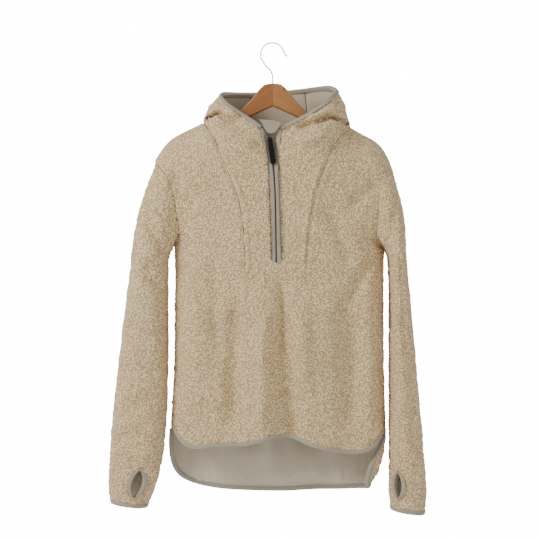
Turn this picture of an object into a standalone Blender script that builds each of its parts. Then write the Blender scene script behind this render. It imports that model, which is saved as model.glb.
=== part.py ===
"""Hooded half-zip pullover in sherpa fleece, hanging on a wooden hanger.

Metres, +Z up, +X to the garment's left-hand side as it faces the viewer, -Y towards the viewer.
The origin is the top of the hook's inside, where it sits on a rail. Heights in the tables are
drops below the origin. Every cloth panel is a grid of points on its outer face; the wall is made
by moving those points inwards along normals that neighbouring panels share.
"""
import math

import bmesh
import bpy
import numpy as np

# ---- cloth thicknesses and gaps
SHERPA = 0.0030
LINING = 0.0012
CLOTH_GAP = 0.0003
SEAM_PULL = 0.0008
SLEEVE_PULL = 0.0016
TAPE = 0.0009
BINDING = 0.0010
BINDING_WIDTH = 0.0075
THUMB_GAP = 0.0025
HOOD_BINDING_GAP = 0.0014
TAIL_BINDING_GAP = 0.0011
LINED = SHERPA + CLOTH_GAP + LINING
TAPE_DEPTH = SHERPA + CLOTH_GAP + BINDING + 2 * CLOTH_GAP
TAPE_REACH = 0.0015
MOST_NORMAL_SPREAD = 0.6
TRIM_FRACTION = 0.025
SLIT_TRIM = (0.30, 0.30)
TAIL_TRIM = (0.30, 0.92)
THUMB_TIP_WIDTH = 0.0018

# ---- grid counts: cells along each stretch of seam
SHOULDER_CELLS = 4
ARMHOLE_CELLS = 7
NECK_SIDE_CELLS = 4
NECK_CENTRE_CELLS = 3
SECTION_CELLS = 8
BODY_ROWS = 8
HOOD_SIDE_ROWS = ARMHOLE_CELLS + NECK_SIDE_CELLS
HOOD_ROWS = 2 * HOOD_SIDE_ROWS + NECK_CENTRE_CELLS

# ---- torso: edges and half-depths of its level sections
SECTION_POWER = 0.8
TORSO_REACH = 0.15
SHOULDER_ROLL = 0.070
# columns: drop, left, right, front, back
TORSO = (
    (0.150, -0.262, 0.268, 0.060, 0.058),
    (0.235, -0.262, 0.268, 0.061, 0.058),
    (0.300, -0.240, 0.250, 0.065, 0.062),
    (0.360, -0.214, 0.232, 0.068, 0.066),
    (0.405, -0.198, 0.223, 0.068, 0.068),
    (0.470, -0.196, 0.222, 0.066, 0.068),
    (0.570, -0.197, 0.222, 0.062, 0.066),
    (0.650, -0.198, 0.222, 0.060, 0.064),
    (0.757, -0.204, 0.225, 0.058, 0.062),
    (0.825, -0.207, 0.224, 0.056, 0.060),
    (0.866, -0.198, 0.210, 0.053, 0.057),
    (0.890, -0.188, 0.192, 0.050, 0.054),
    (0.910, -0.180, 0.182, 0.048, 0.052),
)

# ---- top of the shoulders and its hidden run through the neck: x, drop
SHOULDER_LINE = (
    (-0.262, 0.275), (-0.2376, 0.235), (-0.2254, 0.2124), (-0.2158, 0.1990), (-0.1964, 0.1858),
    (-0.1720, 0.1736), (-0.1406, 0.1590), (-0.1000, 0.1300), (-0.0300, 0.1060), (0.0500, 0.1060),
    (0.1120, 0.1340), (0.1560, 0.1680), (0.1850, 0.1850), (0.2080, 0.1960), (0.2284, 0.2176),
    (0.2412, 0.2456), (0.2450, 0.2620), (0.268, 0.330),
)
LEFT_SHOULDER_X, LEFT_NECK_X = -0.2376, -0.1406
RIGHT_SHOULDER_X, RIGHT_NECK_X = 0.2436, 0.1560

# ---- seams on the front: x, drop
ARMHOLE_LEFT = (
    (-0.2376, 0.2350), (-0.2053, 0.2733), (-0.1958, 0.2993), (-0.1887, 0.3525),
    (-0.1862, 0.3900), (-0.1980, 0.4060),
)
ARMHOLE_RIGHT = (
    (0.2436, 0.2558), (0.2250, 0.2690), (0.2130, 0.2820), (0.2085, 0.3400),
    (0.2065, 0.3900), (0.2228, 0.4092),
)
PRINCESS_LEFT = (
    (-0.0550, 0.4374), (-0.0600, 0.3630), (-0.0673, 0.3180), (-0.0772, 0.2890),
    (-0.0948, 0.2520), (-0.1100, 0.2070), (-0.1215, 0.1860), (-0.1406, 0.1590),
)
PRINCESS_RIGHT = (
    (0.0657, 0.4412), (0.0694, 0.3925), (0.0757, 0.3440), (0.0845, 0.3010),
    (0.0944, 0.2700), (0.1145, 0.2170), (0.1250, 0.1900), (0.1560, 0.1680),
)
NECK_BACK = ((-0.1406, 0.1590), (-0.1150, 0.1660), (-0.0460, 0.1780), (0.0640, 0.1800),
             (0.1280, 0.1740), (0.1560, 0.1680))
NECK_CENTRE_LEFT_X, NECK_CENTRE_RIGHT_X = -0.046, 0.064
# ---- zip: drop, x
ZIP_CENTRE = ((0.150, -0.0100), (0.190, -0.0068), (0.240, 0.0000), (0.437, 0.0066))
ZIP_HALF_GAP = 0.0022

# ---- hems: x, drop, from the left slit to the right slit
SIDE_SLIT_DROP = 0.757
FRONT_HEM = (
    (-0.2040, 0.7570), (-0.1930, 0.7780), (-0.1730, 0.8020), (-0.1630, 0.8060), (-0.1230, 0.8010),
    (-0.0550, 0.7980), (-0.0080, 0.7865), (0.0270, 0.7815), (0.0740, 0.7990), (0.1300, 0.8125),
    (0.1540, 0.8160), (0.1750, 0.8150), (0.1960, 0.8080), (0.2130, 0.7900), (0.2225, 0.7700),
    (0.2250, 0.7570),
)
# columns: turn, drop
TAIL_HEM = (
    (180, 0.7570), (179, 0.7900), (181, 0.8280), (192, 0.8610), (208, 0.8790), (226, 0.8900),
    (248, 0.8970), (270, 0.9030), (292, 0.8975), (314, 0.8960), (332, 0.8935), (350, 0.8910),
    (368, 0.8870), (384, 0.8790), (394, 0.8640), (394, 0.8390), (386, 0.8160), (376, 0.7920),
    (360, 0.7570),
)
TAIL_ROWS = 4

# ---- folds that run down to the hems
# columns: x_top, x_hem, drop_top, width_top, width_hem, depth
FRONT_FOLDS = (
    (0.0150, 0.0330, 0.455, 0.012, 0.026, 0.024),
    (-0.0760, -0.0800, 0.500, 0.026, 0.034, 0.010),
    (0.1420, 0.1480, 0.520, 0.024, 0.030, 0.012),
)
BACK_FOLDS = (
    (-0.1000, -0.1080, 0.430, 0.024, 0.034, 0.014),
    (0.0050, -0.0120, 0.400, 0.022, 0.032, 0.016),
    (0.1080, 0.1180, 0.450, 0.024, 0.034, 0.013),
)
HEM_DROP = 0.800

# ---- hood: opening edge and lowest or outermost line of each section, by row
# columns: row, edge_x, edge_y, edge_drop, belly_x, belly_y, belly_drop, round
HOOD_SECTIONS = (
    (5.0, -0.0200, -0.0660, 0.1740, -0.0610, -0.0770, 0.2060, 0.000),
    (6.0, -0.0600, -0.0560, 0.1470, -0.0940, -0.0720, 0.1760, 0.000),
    (7.0, -0.0930, -0.0280, 0.1230, -0.1260, -0.0400, 0.1430, 0.000),
    (8.0, -0.1080, 0.0030, 0.1000, -0.1410, 0.0210, 0.1410, 0.006),
    (9.0, -0.0990, 0.0300, 0.0935, -0.1380, 0.0700, 0.1950, 0.014),
    (10.0, -0.0740, 0.0530, 0.0915, -0.1100, 0.0960, 0.2500, 0.018),
    (11.0, -0.0460, 0.0680, 0.0895, -0.0680, 0.1080, 0.2820, 0.020),
    (12.5, 0.0080, 0.0740, 0.0860, 0.0080, 0.1110, 0.2950, 0.021),
    (14.0, 0.0660, 0.0660, 0.0810, 0.0860, 0.1080, 0.2820, 0.020),
    (15.0, 0.0950, 0.0510, 0.0790, 0.1270, 0.0960, 0.2500, 0.018),
    (16.0, 0.1180, 0.0290, 0.0800, 0.1540, 0.0700, 0.1980, 0.014),
    (17.0, 0.1290, 0.0030, 0.0925, 0.1550, 0.0240, 0.1470, 0.006),
    (18.0, 0.1040, -0.0280, 0.1215, 0.1390, -0.0400, 0.1480, 0.000),
    (19.0, 0.0640, -0.0560, 0.1510, 0.1000, -0.0720, 0.1760, 0.000),
    (20.0, 0.0100, -0.0660, 0.1770, 0.0650, -0.0770, 0.2060, 0.000),
)
V_ROW_LEFT = 5
V_ROW_RIGHT = 20

# ---- sleeves: level sections below the armhole, outer and inner edges and half-depth
# columns: drop_outer, drop_inner, x_outer, x_inner, depth, turn
SLEEVE_LEFT = (
    (0.430, 0.430, -0.2840, -0.2085, 0.058, 0.0),
    (0.500, 0.500, -0.2932, -0.2080, 0.057, 0.0),
    (0.585, 0.585, -0.3036, -0.2075, 0.054, 0.0),
    (0.670, 0.670, -0.3142, -0.2080, 0.051, 0.0),
    (0.750, 0.752, -0.3228, -0.2105, 0.049, 0.0),
    (0.810, 0.814, -0.3272, -0.2155, 0.047, 0.0),
    (0.842, 0.846, -0.3290, -0.2225, 0.046, 0.0),
    (0.853, 0.858, -0.3295, -0.2252, 0.045, 0.0),
    (0.864, 0.870, -0.3298, -0.2285, 0.045, 0.0),
    (0.875, 0.882, -0.3300, -0.2325, 0.044, 0.0),
    (0.886, 0.894, -0.3300, -0.2368, 0.044, 0.0),
    (0.897, 0.906, -0.3290, -0.2415, 0.043, 0.0),
    (0.914, 0.925, -0.3250, -0.2500, 0.042, 0.0),
)
SLEEVE_RIGHT = (
    (0.430, 0.430, 0.2656, 0.2300, 0.066, 0.0),
    (0.500, 0.500, 0.2730, 0.2315, 0.066, 0.0),
    (0.585, 0.585, 0.2812, 0.2310, 0.064, 0.0),
    (0.670, 0.670, 0.2890, 0.2308, 0.061, 0.0),
    (0.750, 0.750, 0.2965, 0.2308, 0.058, 0.0),
    (0.815, 0.815, 0.3020, 0.2308, 0.054, -0.04),
    (0.851, 0.848, 0.3052, 0.2308, 0.051, -0.08),
    (0.862, 0.859, 0.3062, 0.2308, 0.050, -0.10),
    (0.873, 0.870, 0.3068, 0.2308, 0.049, -0.10),
    (0.884, 0.881, 0.3072, 0.2308, 0.048, -0.10),
    (0.895, 0.892, 0.3076, 0.2309, 0.047, -0.10),
    (0.908, 0.903, 0.3077, 0.2314, 0.046, -0.10),
    (0.938, 0.929, 0.3040, 0.2340, 0.044, -0.08),
)
SLEEVE_POWER = 0.9
SLEEVE_HEAD_ROWS = 3
SLEEVE_HEAD_BULGE = 0.010
THUMB_FIRST_ROW = 10
THUMB_ROWS = 5
THUMB_HALF_WIDTH_LEFT = 0.0125
THUMB_HALF_WIDTH_RIGHT = 0.0090
THUMB_COLUMN_LEFT = 4
THUMB_COLUMN_RIGHT = 5

# ---- hanger and hook
HANGER_THICKNESS = 0.0130
HANGER_ARM = ((0.0, 0.0800, 0.1260), (0.0120, 0.0812, 0.1310), (0.0212, 0.0850, 0.1350),
              (0.0320, 0.0975, 0.1400), (0.0450, 0.1140, 0.1460), (0.0690, 0.1385, 0.1580))
HANGER_TIP_X = 0.1970
HANGER_CLEARANCE = 0.0095
HANGER_TIP_HEIGHT = 0.0140
HANGER_ROOT_HEIGHT = 0.0195
HANGER_EDGE_RADIUS = 0.0030
HANGER_HALF_GAP = 0.00015
HOOK_WIRE = 0.0030
HOOK_RADIUS = 0.0235
HOOK_LEAN = -0.0012

# ---- zip hardware
SLIDER_DROP = 0.1990
SLIDER_SIZE = (0.0090, 0.0026, 0.0120)
SLIDER_STANDOFF = 0.0017
HINGE_STANDOFF = 0.0074
TAB_LENGTH = 0.0490
TAB_WIDTH_TOP = 0.0085
TAB_WIDTH_FOOT = 0.0112
TAB_THICKNESS = 0.0020
TAB_HEAD = 0.0011
TAB_WINDOW = (0.0034, 0.0050)
TAB_TILT = math.radians(8.0)
BRIDGE_WIRE = 0.0010
BRIDGE_REACH = 0.0024
TAB_SHOULDER = 0.0045
TAB_CORNER = 0.0015
SLIDER_CORNER = 0.0022
GARAGE_THICKNESS = 0.0014
GARAGE_STANDOFF = 0.0070
# ---- zip garage: drop, left edge and right edge from the zip's middle
GARAGE_SHAPE = (
    (0.1690, -0.0120, 0.0120), (0.1740, -0.0112, 0.0112), (0.1800, -0.0096, 0.0096),
    (0.1860, -0.0082, 0.0082), (0.1900, -0.0068, 0.0068), (0.1925, -0.0046, 0.0046),
    (0.1935, -0.0018, 0.0018),
)
# ---- side seam on the right: drop, angle it lies forward
SEAM_FORWARD = (
    (0.405, 0.0), (0.450, 0.16), (0.500, 0.30), (0.560, 0.32), (0.650, 0.16), (0.720, 0.04),
    (0.757, 0.0),
)


def new_material(name, colour, roughness, metallic=0.0):
    """A Principled material in one colour."""
    material = bpy.data.materials.new(name)
    material.use_nodes = True
    shader = material.node_tree.nodes["Principled BSDF"]
    shader.inputs["Base Color"].default_value = (*colour, 1.0)
    shader.inputs["Roughness"].default_value = roughness
    shader.inputs["Metallic"].default_value = metallic
    return material


def clear_scene():
    """Remove every object that is in the file."""
    for item in list(bpy.data.objects):
        bpy.data.objects.remove(item, do_unlink=True)


def smooth(table, place):
    """Smooth curve through a table's rows: all other columns at a place in the first column."""
    rows = np.asarray(table, float)
    rows = rows[np.argsort(rows[:, 0])]
    knots, others = rows[:, 0], rows[:, 1:]
    slopes = np.gradient(others, knots, axis=0)
    place = float(np.clip(place, knots[0], knots[-1]))
    k = int(np.clip(np.searchsorted(knots, place) - 1, 0, len(knots) - 2))
    span = knots[k + 1] - knots[k]
    t = (place - knots[k]) / span
    return ((2 * t**3 - 3 * t**2 + 1) * others[k] + (t**3 - 2 * t**2 + t) * span * slopes[k]
            + (3 * t**2 - 2 * t**3) * others[k + 1] + (t**3 - t**2) * span * slopes[k + 1])


def along(points, fractions):
    """Points at fractions of the length of a smooth open curve."""
    points = np.asarray(points, float)
    steps = np.linalg.norm(np.diff(points, axis=0), axis=1)
    lengths = np.concatenate(([0.0], np.cumsum(steps)))
    table = np.column_stack((lengths / lengths[-1], points))
    return np.array([smooth(table, fraction) for fraction in fractions])


def even(cells):
    """Even fractions from 0 to 1."""
    return np.linspace(0.0, 1.0, cells + 1)


def denser_at_start(cells, power=1.5):
    """Fractions from 0 to 1 that lie closer together near 0."""
    return even(cells) ** power


# ------------------------------------------------------------------ torso form

def torso_angle(x, drop, back=False):
    """Angle round the torso's section: 0 right edge, quarter turn front, half turn left edge."""
    left, right = smooth(TORSO, drop)[:2]
    reach = (x - (left + right) / 2) / ((right - left) / 2)
    reach = float(np.clip(reach, -1.0, 1.0))
    angle = math.acos(math.copysign(abs(reach) ** (1 / SECTION_POWER), reach))
    return 2 * math.pi - angle if back else angle


def shoulder_factor(x, drop):
    """How far the section has opened below the shoulder line, 0 at the line and 1 below it."""
    line = float(smooth(SHOULDER_LINE, x)[0])
    depth = np.clip((drop - line) / SHOULDER_ROLL, 0.0, 1.0)
    return math.sqrt(1.0 - (1.0 - depth) ** 2)


def fold_depth(folds, x, drop):
    """Inward depth of the folds at a place."""
    total = 0.0
    for x_top, x_hem, drop_top, width_top, width_hem, depth in folds:
        grown = np.clip((drop - drop_top) / (HEM_DROP - drop_top), 0.0, 1.15)
        middle = x_top + (x_hem - x_top) * grown
        width = width_top + (width_hem - width_top) * grown
        total += depth * grown ** 0.8 * math.exp(-((x - middle) / width) ** 2)
    return total


def torso_point(angle, drop):
    """Point of the torso's outer face."""
    left, right, front, back = smooth(TORSO, drop)
    c, s = math.cos(angle), math.sin(angle)
    x = (left + right) / 2 + (right - left) / 2 * math.copysign(abs(c) ** SECTION_POWER, c)
    is_front = s > 0
    reach = front if is_front else back
    opening = abs(s) ** SECTION_POWER
    y = reach * opening * shoulder_factor(x, drop)
    y -= fold_depth(FRONT_FOLDS if is_front else BACK_FOLDS, x, drop) * min(1.0, opening)
    return np.array((x, -y if is_front else y, -drop))


def front_y(x, drop):
    """Y of the front's outer face."""
    return torso_point(torso_angle(x, drop), drop)[1]


def angles(curve, back=False):
    """Curve in x and drop, as angle and drop."""
    return np.array([(torso_angle(x, drop, back), drop) for x, drop in curve])


def coons(bottom, top, left, right):
    """Grid filled between four boundary curves: rows from left[0] to left[-1]."""
    rows, columns = len(left), len(top)
    v = np.linspace(0, 1, rows)[:, None, None]
    u = np.linspace(0, 1, columns)[None, :, None]
    top, bottom = np.asarray(top)[None], np.asarray(bottom)[None]
    left, right = np.asarray(left)[:, None], np.asarray(right)[:, None]
    corners = ((1 - u) * (1 - v) * left[0, 0] + u * (1 - v) * right[0, 0]
               + (1 - u) * v * left[-1, 0] + u * v * right[-1, 0])
    return (1 - v) * top + v * bottom + (1 - u) * left + u * right - corners


def on_torso(grid):
    """Grid of angle and drop, as points."""
    return np.array([[torso_point(angle, drop) for angle, drop in row] for row in grid])


# ------------------------------------------------------------------ seam curves

def shoulder_curve(x_from, x_to, cells):
    """Points of the shoulder line, in x and drop."""
    xs = x_from + (x_to - x_from) * even(cells)
    return np.array([(x, float(smooth(SHOULDER_LINE, x)[0])) for x in xs])


def side_seam(side):
    """Side seam in angle and drop, from the armpit to the slit."""
    start = ARMHOLE_LEFT[-1][1] if side < 0 else ARMHOLE_RIGHT[-1][1]
    drops = start + (SIDE_SLIT_DROP - start) * even(BODY_ROWS)
    if side < 0:
        return np.array([(math.pi, drop) for drop in drops])
    return np.array([(float(smooth(SEAM_FORWARD, drop)[0]), drop) for drop in drops])


def build_curves():
    """All seam curves that panels share, in angle and drop."""
    holes = denser_at_start(ARMHOLE_CELLS, 1.25)
    seams = {}
    for side, hole, princess in (("left", ARMHOLE_LEFT, PRINCESS_LEFT),
                                 ("right", ARMHOLE_RIGHT, PRINCESS_RIGHT)):
        loop = along(hole, holes)
        seams["armhole_" + side] = angles(loop)
        seams["armhole_back_" + side] = angles(loop, back=True)
        if side == "left":
            seams["armhole_left"][-1, 0] = math.pi
            seams["armhole_back_left"][-1, 0] = math.pi
        else:
            seams["armhole_right"][-1, 0] = 0.0
            seams["armhole_back_right"][-1, 0] = 2 * math.pi
        seams["princess_" + side] = angles(along(princess, even(ARMHOLE_CELLS)))
    left_line = shoulder_curve(LEFT_SHOULDER_X, LEFT_NECK_X, SHOULDER_CELLS)
    right_line = shoulder_curve(RIGHT_NECK_X, RIGHT_SHOULDER_X, SHOULDER_CELLS)
    neck_x = np.concatenate((
        np.linspace(LEFT_NECK_X, NECK_CENTRE_LEFT_X, NECK_SIDE_CELLS + 1),
        np.linspace(NECK_CENTRE_LEFT_X, NECK_CENTRE_RIGHT_X, NECK_CENTRE_CELLS + 1)[1:],
        np.linspace(NECK_CENTRE_RIGHT_X, RIGHT_NECK_X, NECK_SIDE_CELLS + 1)[1:]))
    neck = np.array([(x, float(smooth(NECK_BACK, x)[0])) for x in neck_x])
    seams["shoulder_left"] = angles(left_line)
    seams["shoulder_right"] = angles(right_line)
    seams["shoulder_back_left"] = angles(left_line, back=True)
    seams["shoulder_back_right"] = angles(right_line, back=True)
    seams["neck_back"] = angles(neck, back=True)
    seams["side_left"] = side_seam(-1)
    seams["side_right"] = side_seam(1)
    return seams


# ------------------------------------------------------------------ panels as grids

def front_grids(seams, hood):
    """Grids of the front: beside the bib on each side, and below it."""
    foot = [(torso_angle(point[0], -point[2]), -point[2])
            for point in np.concatenate((hood[0], hood[-1][::-1]))]
    left_low = coons_line(seams["armhole_left"][-1], seams["princess_left"][0], SHOULDER_CELLS)
    left = coons(left_low, seams["shoulder_left"], seams["armhole_left"],
                 seams["princess_left"][::-1])
    right_low = coons_line(seams["princess_right"][0], seams["armhole_right"][-1],
                           SHOULDER_CELLS)
    right = coons(right_low, seams["shoulder_right"], seams["princess_right"][::-1],
                  seams["armhole_right"])
    top = np.concatenate((left_low, foot[1:-1], right_low))
    hem = angles(along(FRONT_HEM, even(len(top) - 1)))
    hem[0] = seams["side_left"][-1]
    hem[-1] = seams["side_right"][-1]
    below = coons(hem, top, seams["side_left"], seams["side_right"])
    return [on_torso(left), on_torso(right), with_border(on_torso(below))]


def with_border(grid):
    """Grid with one more row, at the inner border of the binding on its last row."""
    edge, before = grid[-1], grid[-2]
    tangent = unit(np.gradient(edge, axis=0))
    step = before - edge
    away = step - tangent * np.sum(step * tangent, axis=1)[:, None]
    share = BINDING_WIDTH / np.maximum(np.linalg.norm(away, axis=1), 1e-9)
    for end in (0, -1):
        share[end] = BINDING_WIDTH / max(np.linalg.norm(step[end]), 1e-9)
    share = np.clip(share, 0.0, 0.5)
    return np.concatenate((grid[:-1], [edge + step * share[:, None]], [edge]))


def coons_line(start, end, cells):
    """Straight run between two places in angle and drop."""
    return np.array([start + (end - start) * fraction for fraction in even(cells)])


def back_grids(seams):
    """Grids of the back: above the armpits, and below them to the drop tail."""
    top = np.concatenate((seams["shoulder_back_left"], seams["neck_back"][1:-1],
                          seams["shoulder_back_right"]))
    middle = coons_line(seams["armhole_back_left"][-1], seams["armhole_back_right"][-1],
                        len(top) - 1)
    upper = coons(middle, top, seams["armhole_back_left"], seams["armhole_back_right"])
    side_right = seams["side_right"].copy()
    side_right[:, 0] += 2 * math.pi
    slits = coons_line(seams["side_left"][-1], side_right[-1], len(top) - 1)
    lower = coons(slits, middle, seams["side_left"], side_right)
    reach = np.array((TORSO_REACH, 1.0))
    hem = along([(math.radians(turn), drop) * reach for turn, drop in TAIL_HEM],
                even(len(top) - 1)) / reach
    tail = np.array([slits + (hem - slits) * share for share in even(TAIL_ROWS)])
    return [on_torso(upper), with_border(on_torso(lower)), with_border(on_torso(tail))]


def zip_x(drop):
    """X of the zip's centre line."""
    return float(smooth(ZIP_CENTRE, drop)[0])


def bib_edge(side, drop):
    """Point of the bib's edge beside the zip."""
    x = zip_x(drop) + side * ZIP_HALF_GAP
    return np.array((x, front_y(x, drop), -drop))


def section_places(end_speed):
    """Places along a section, the last but one at the binding's inner border."""
    border = 1.0 - BINDING_WIDTH / end_speed
    return np.append(even(SECTION_CELLS - 1) * border, 1.0)


def hood_row(start, edge, belly, roundness):
    """One section of the hood: a bow from its seam through its belly to its edge."""
    spread = (edge - start) / 6 + np.array((0.0, roundness, 0.0))
    middle = (8 * belly - start - edge) / 6
    first, second = middle - spread, middle + spread
    t = section_places(3 * np.linalg.norm(edge - second))[:, None]
    return ((1 - t) ** 3 * start + 3 * (1 - t) ** 2 * t * first
            + 3 * (1 - t) * t ** 2 * second + t ** 3 * edge)


def bib_row(start, edge):
    """One section of the bib: it follows the front's form from its seam to the zip."""
    places = section_places(np.linalg.norm(edge - start))
    row = []
    for t in places:
        x, z = start[0] + t * (edge[0] - start[0]), start[2] + t * (edge[2] - start[2])
        row.append(np.array((x, front_y(x, -z), z)))
    row[0], row[-1] = start, edge
    return row


def hood_grid(seams):
    """Grid of both bib halves and the hood, from the left bib foot round to the right one."""
    line = np.concatenate((seams["princess_left"], seams["neck_back"][1:-1],
                           seams["princess_right"][::-1]))
    rows = []
    for k, (angle, drop) in enumerate(line):
        start = torso_point(angle, drop)
        side = -1 if k <= HOOD_ROWS / 2 else 1
        from_foot = k if side < 0 else HOOD_ROWS - k
        if from_foot < V_ROW_LEFT:
            foot_drop = seams["princess_left" if side < 0 else "princess_right"][0, 1]
            edge_drop = foot_drop + (0.235 - foot_drop) * from_foot / (V_ROW_LEFT - 1)
            rows.append(bib_row(start, bib_edge(side, edge_drop)))
        else:
            values = smooth(HOOD_SECTIONS, k)
            edge = np.array((values[0], values[1], -values[2]))
            belly = np.array((values[3], values[4], -values[5]))
            rows.append(hood_row(start, edge, belly, values[6]))
    return np.array(rows)


def sleeve_grid(seams, side):
    """Grid of a sleeve: rows from the armhole to the cuff, columns round it."""
    name = "left" if side < 0 else "right"
    table = SLEEVE_LEFT if side < 0 else SLEEVE_RIGHT
    front = [torso_point(*place) for place in seams["armhole_" + name]]
    back = [torso_point(*place) for place in seams["armhole_back_" + name]]
    loop = np.array(front[:-1] + back[:0:-1])
    count = len(loop)
    turns = 2 * math.pi * np.arange(count) / count
    rings = []
    for drop_outer, drop_inner, x_outer, x_inner, depth, turn in table:
        ring = []
        for angle in turns + turn:
            c, s = math.cos(angle), math.sin(angle)
            c = math.copysign(abs(c) ** SLEEVE_POWER, c)
            s = math.copysign(abs(s) ** SLEEVE_POWER, s)
            x = (x_outer + x_inner) / 2 + c * (x_outer - x_inner) / 2
            drop = (drop_outer + drop_inner) / 2 + c * (drop_outer - drop_inner) / 2
            ring.append((x, -s * depth, -drop))
        rings.append(np.array(ring))
    outward = np.array([(side * abs(math.cos(a / 2)), -math.sin(a), 0.0) for a in turns])
    rows = [loop]
    for k in range(1, SLEEVE_HEAD_ROWS + 1):
        t = k / (SLEEVE_HEAD_ROWS + 1)
        bow = 4 * t * (1 - t) * SLEEVE_HEAD_BULGE
        rows.append((1 - t) * loop + t * rings[0] + bow * outward)
    rows.extend(rings)
    return np.array(rows)


def open_thumbhole(grid, column, half_width):
    """Grid cut along a column, parted into a pointed hole, with lines at its binding's border."""
    count = grid.shape[1]
    order = [(column + n) % count for n in range(count + 1)]
    cut = grid[:, order].copy()
    for k in range(1, THUMB_ROWS):
        row = THUMB_FIRST_ROW + k
        parting = half_width * math.sin(math.pi * k / THUMB_ROWS) ** 0.8
        across = unit(grid[row, order[1]] - grid[row, order[-2]])
        for n, share in ((0, 1.0), (1, 0.5), (2, 0.15)):
            cut[row, n] += across * parting * share
            cut[row, -1 - n] -= across * parting * share
    cut = with_border(cut)
    near = cut[:, 0] + unit(cut[:, 1] - cut[:, 0]) * BINDING_WIDTH
    far = cut[:, -1] + unit(cut[:, -2] - cut[:, -1]) * BINDING_WIDTH
    return np.concatenate((cut[:, :1], near[:, None], cut[:, 1:-1], far[:, None], cut[:, -1:]),
                          axis=1)


# ------------------------------------------------------------------ cloth solids

def key(point):
    """Name of a place, the same for points that coincide."""
    return tuple(np.round(np.asarray(point) * 1e5).astype(int))


class Panel:
    """A cloth panel: points and four-sided faces of its outer side."""

    def __init__(self, name, kind):
        self.name = name
        self.kind = kind
        self.points = []
        self.faces = []
        self.index = {}

    def place(self, point):
        """Number of a point, added once for each place."""
        name = key(point)
        if name not in self.index:
            self.index[name] = len(self.points)
            self.points.append(np.asarray(point, float))
        return self.index[name]

    def add_grid(self, grid, flip=False):
        """Add a grid of points as faces."""
        rows, columns = grid.shape[:2]
        numbers = [[self.place(grid[r, c]) for c in range(columns)] for r in range(rows)]
        for r in range(rows - 1):
            for c in range(columns - 1):
                a, b = numbers[r][c], numbers[r + 1][c]
                d, e = numbers[r + 1][c + 1], numbers[r][c + 1]
                for face in ((a, b, d), (a, d, e)):
                    self.add_face(face[::-1] if flip else face)

    def add_face(self, face):
        """Add one triangle, unless two of its corners coincide."""
        if len(set(face)) == 3:
            self.faces.append(list(face))

    def face_normals(self):
        """Area-weighted normal of each face."""
        corners = np.array(self.points)[np.array(self.faces)]
        return np.cross(corners[:, 1] - corners[:, 0], corners[:, 2] - corners[:, 0]) / 2

    def own_normals(self):
        """Sum of the face normals at each point."""
        sums = np.zeros((len(self.points), 3))
        for face, normal in zip(self.faces, self.face_normals()):
            for n in face:
                sums[n] += normal
        return sums

    def rim(self):
        """Directed edges that only one face uses."""
        edges = {}
        for face in self.faces:
            for k, n in enumerate(face):
                edges[(face[k - 1], n)] = True
        return [(a, b) for a, b in edges if (b, a) not in edges]


def unit(vectors):
    """Vectors scaled to length 1."""
    vectors = np.asarray(vectors, float)
    lengths = np.linalg.norm(vectors, axis=-1, keepdims=True)
    return vectors / np.maximum(lengths, 1e-12)


def set_normals(panels):
    """Give panels normals that neighbours share: all of them, or those of one kind at a corner."""
    shared, alike = {}, {}
    for panel in panels:
        for point, normal in zip(panel.points, panel.own_normals()):
            place = key(point)
            shared[place] = shared.get(place, 0) + normal
            alike[place, panel.kind] = alike.get((place, panel.kind), 0) + normal
    corners = {place for place, kind in alike
               if np.dot(unit(alike[place, kind]), unit(shared[place])) < MOST_NORMAL_SPREAD}
    for panel in panels:
        places = [key(point) for point in panel.points]
        panel.normals = unit([alike[place, panel.kind] if place in corners else shared[place]
                              for place in places])


def even_out(panels, line, rounds=3):
    """Even out the normals along a line of points, the same in every panel that has them."""
    normals = np.array([first_normal(panels, point) for point in line])
    for _ in range(rounds):
        ends = np.concatenate((normals[:1], normals, normals[-1:]))
        normals = unit(ends[:-2] + 2 * normals + ends[2:])
    for panel in panels:
        for point, normal in zip(line, normals):
            if key(point) in panel.index:
                panel.normals[panel.index[key(point)]] = normal


def normals_at(panel, points):
    """Normals of a panel at some of its points."""
    return np.array([panel.normals[panel.index[key(point)]] for point in points])


def inset(panel, amount):
    """Points of a panel with its rim pulled in along the cloth, square to the rim."""
    points = np.array(panel.points)
    pulls = {}
    for a, b in panel.rim():
        normal = panel.normals[a] + panel.normals[b]
        inward = unit(np.cross(normal, points[b] - points[a]))
        pulls.setdefault(a, []).append(inward)
        pulls.setdefault(b, []).append(inward)
    for n, both in pulls.items():
        mitre = sum(both) / max(1.0 + np.dot(both[0], both[-1]), 0.5)
        mitre -= panel.normals[n] * np.dot(mitre, panel.normals[n])
        points[n] += mitre * amount
    return points


def make_object(name, points, faces, material, smooth_faces=True):
    """Mesh object from points and faces."""
    mesh = bpy.data.meshes.new(name)
    mesh.from_pydata([tuple(point) for point in points], [], faces)
    mesh.validate()
    mesh.materials.append(material)
    item = bpy.data.objects.new(name, mesh)
    bpy.context.scene.collection.objects.link(item)
    if smooth_faces:
        mesh.shade_smooth()
        mesh.set_sharp_from_angle(angle=math.radians(50))
    return item


def wall(panel, name, material, near, far, pull=SEAM_PULL):
    """Solid of a panel between two depths below its outer face."""
    points = inset(panel, pull)
    outer = points - panel.normals * near
    inner = points - panel.normals * far
    count = len(points)
    faces = [list(face) for face in panel.faces]
    faces += [[n + count for n in reversed(face)] for face in panel.faces]
    faces += [[b, a, a + count, b + count] for a, b in panel.rim()]
    return make_object(name, np.vstack((outer, inner)), faces, material)


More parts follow.
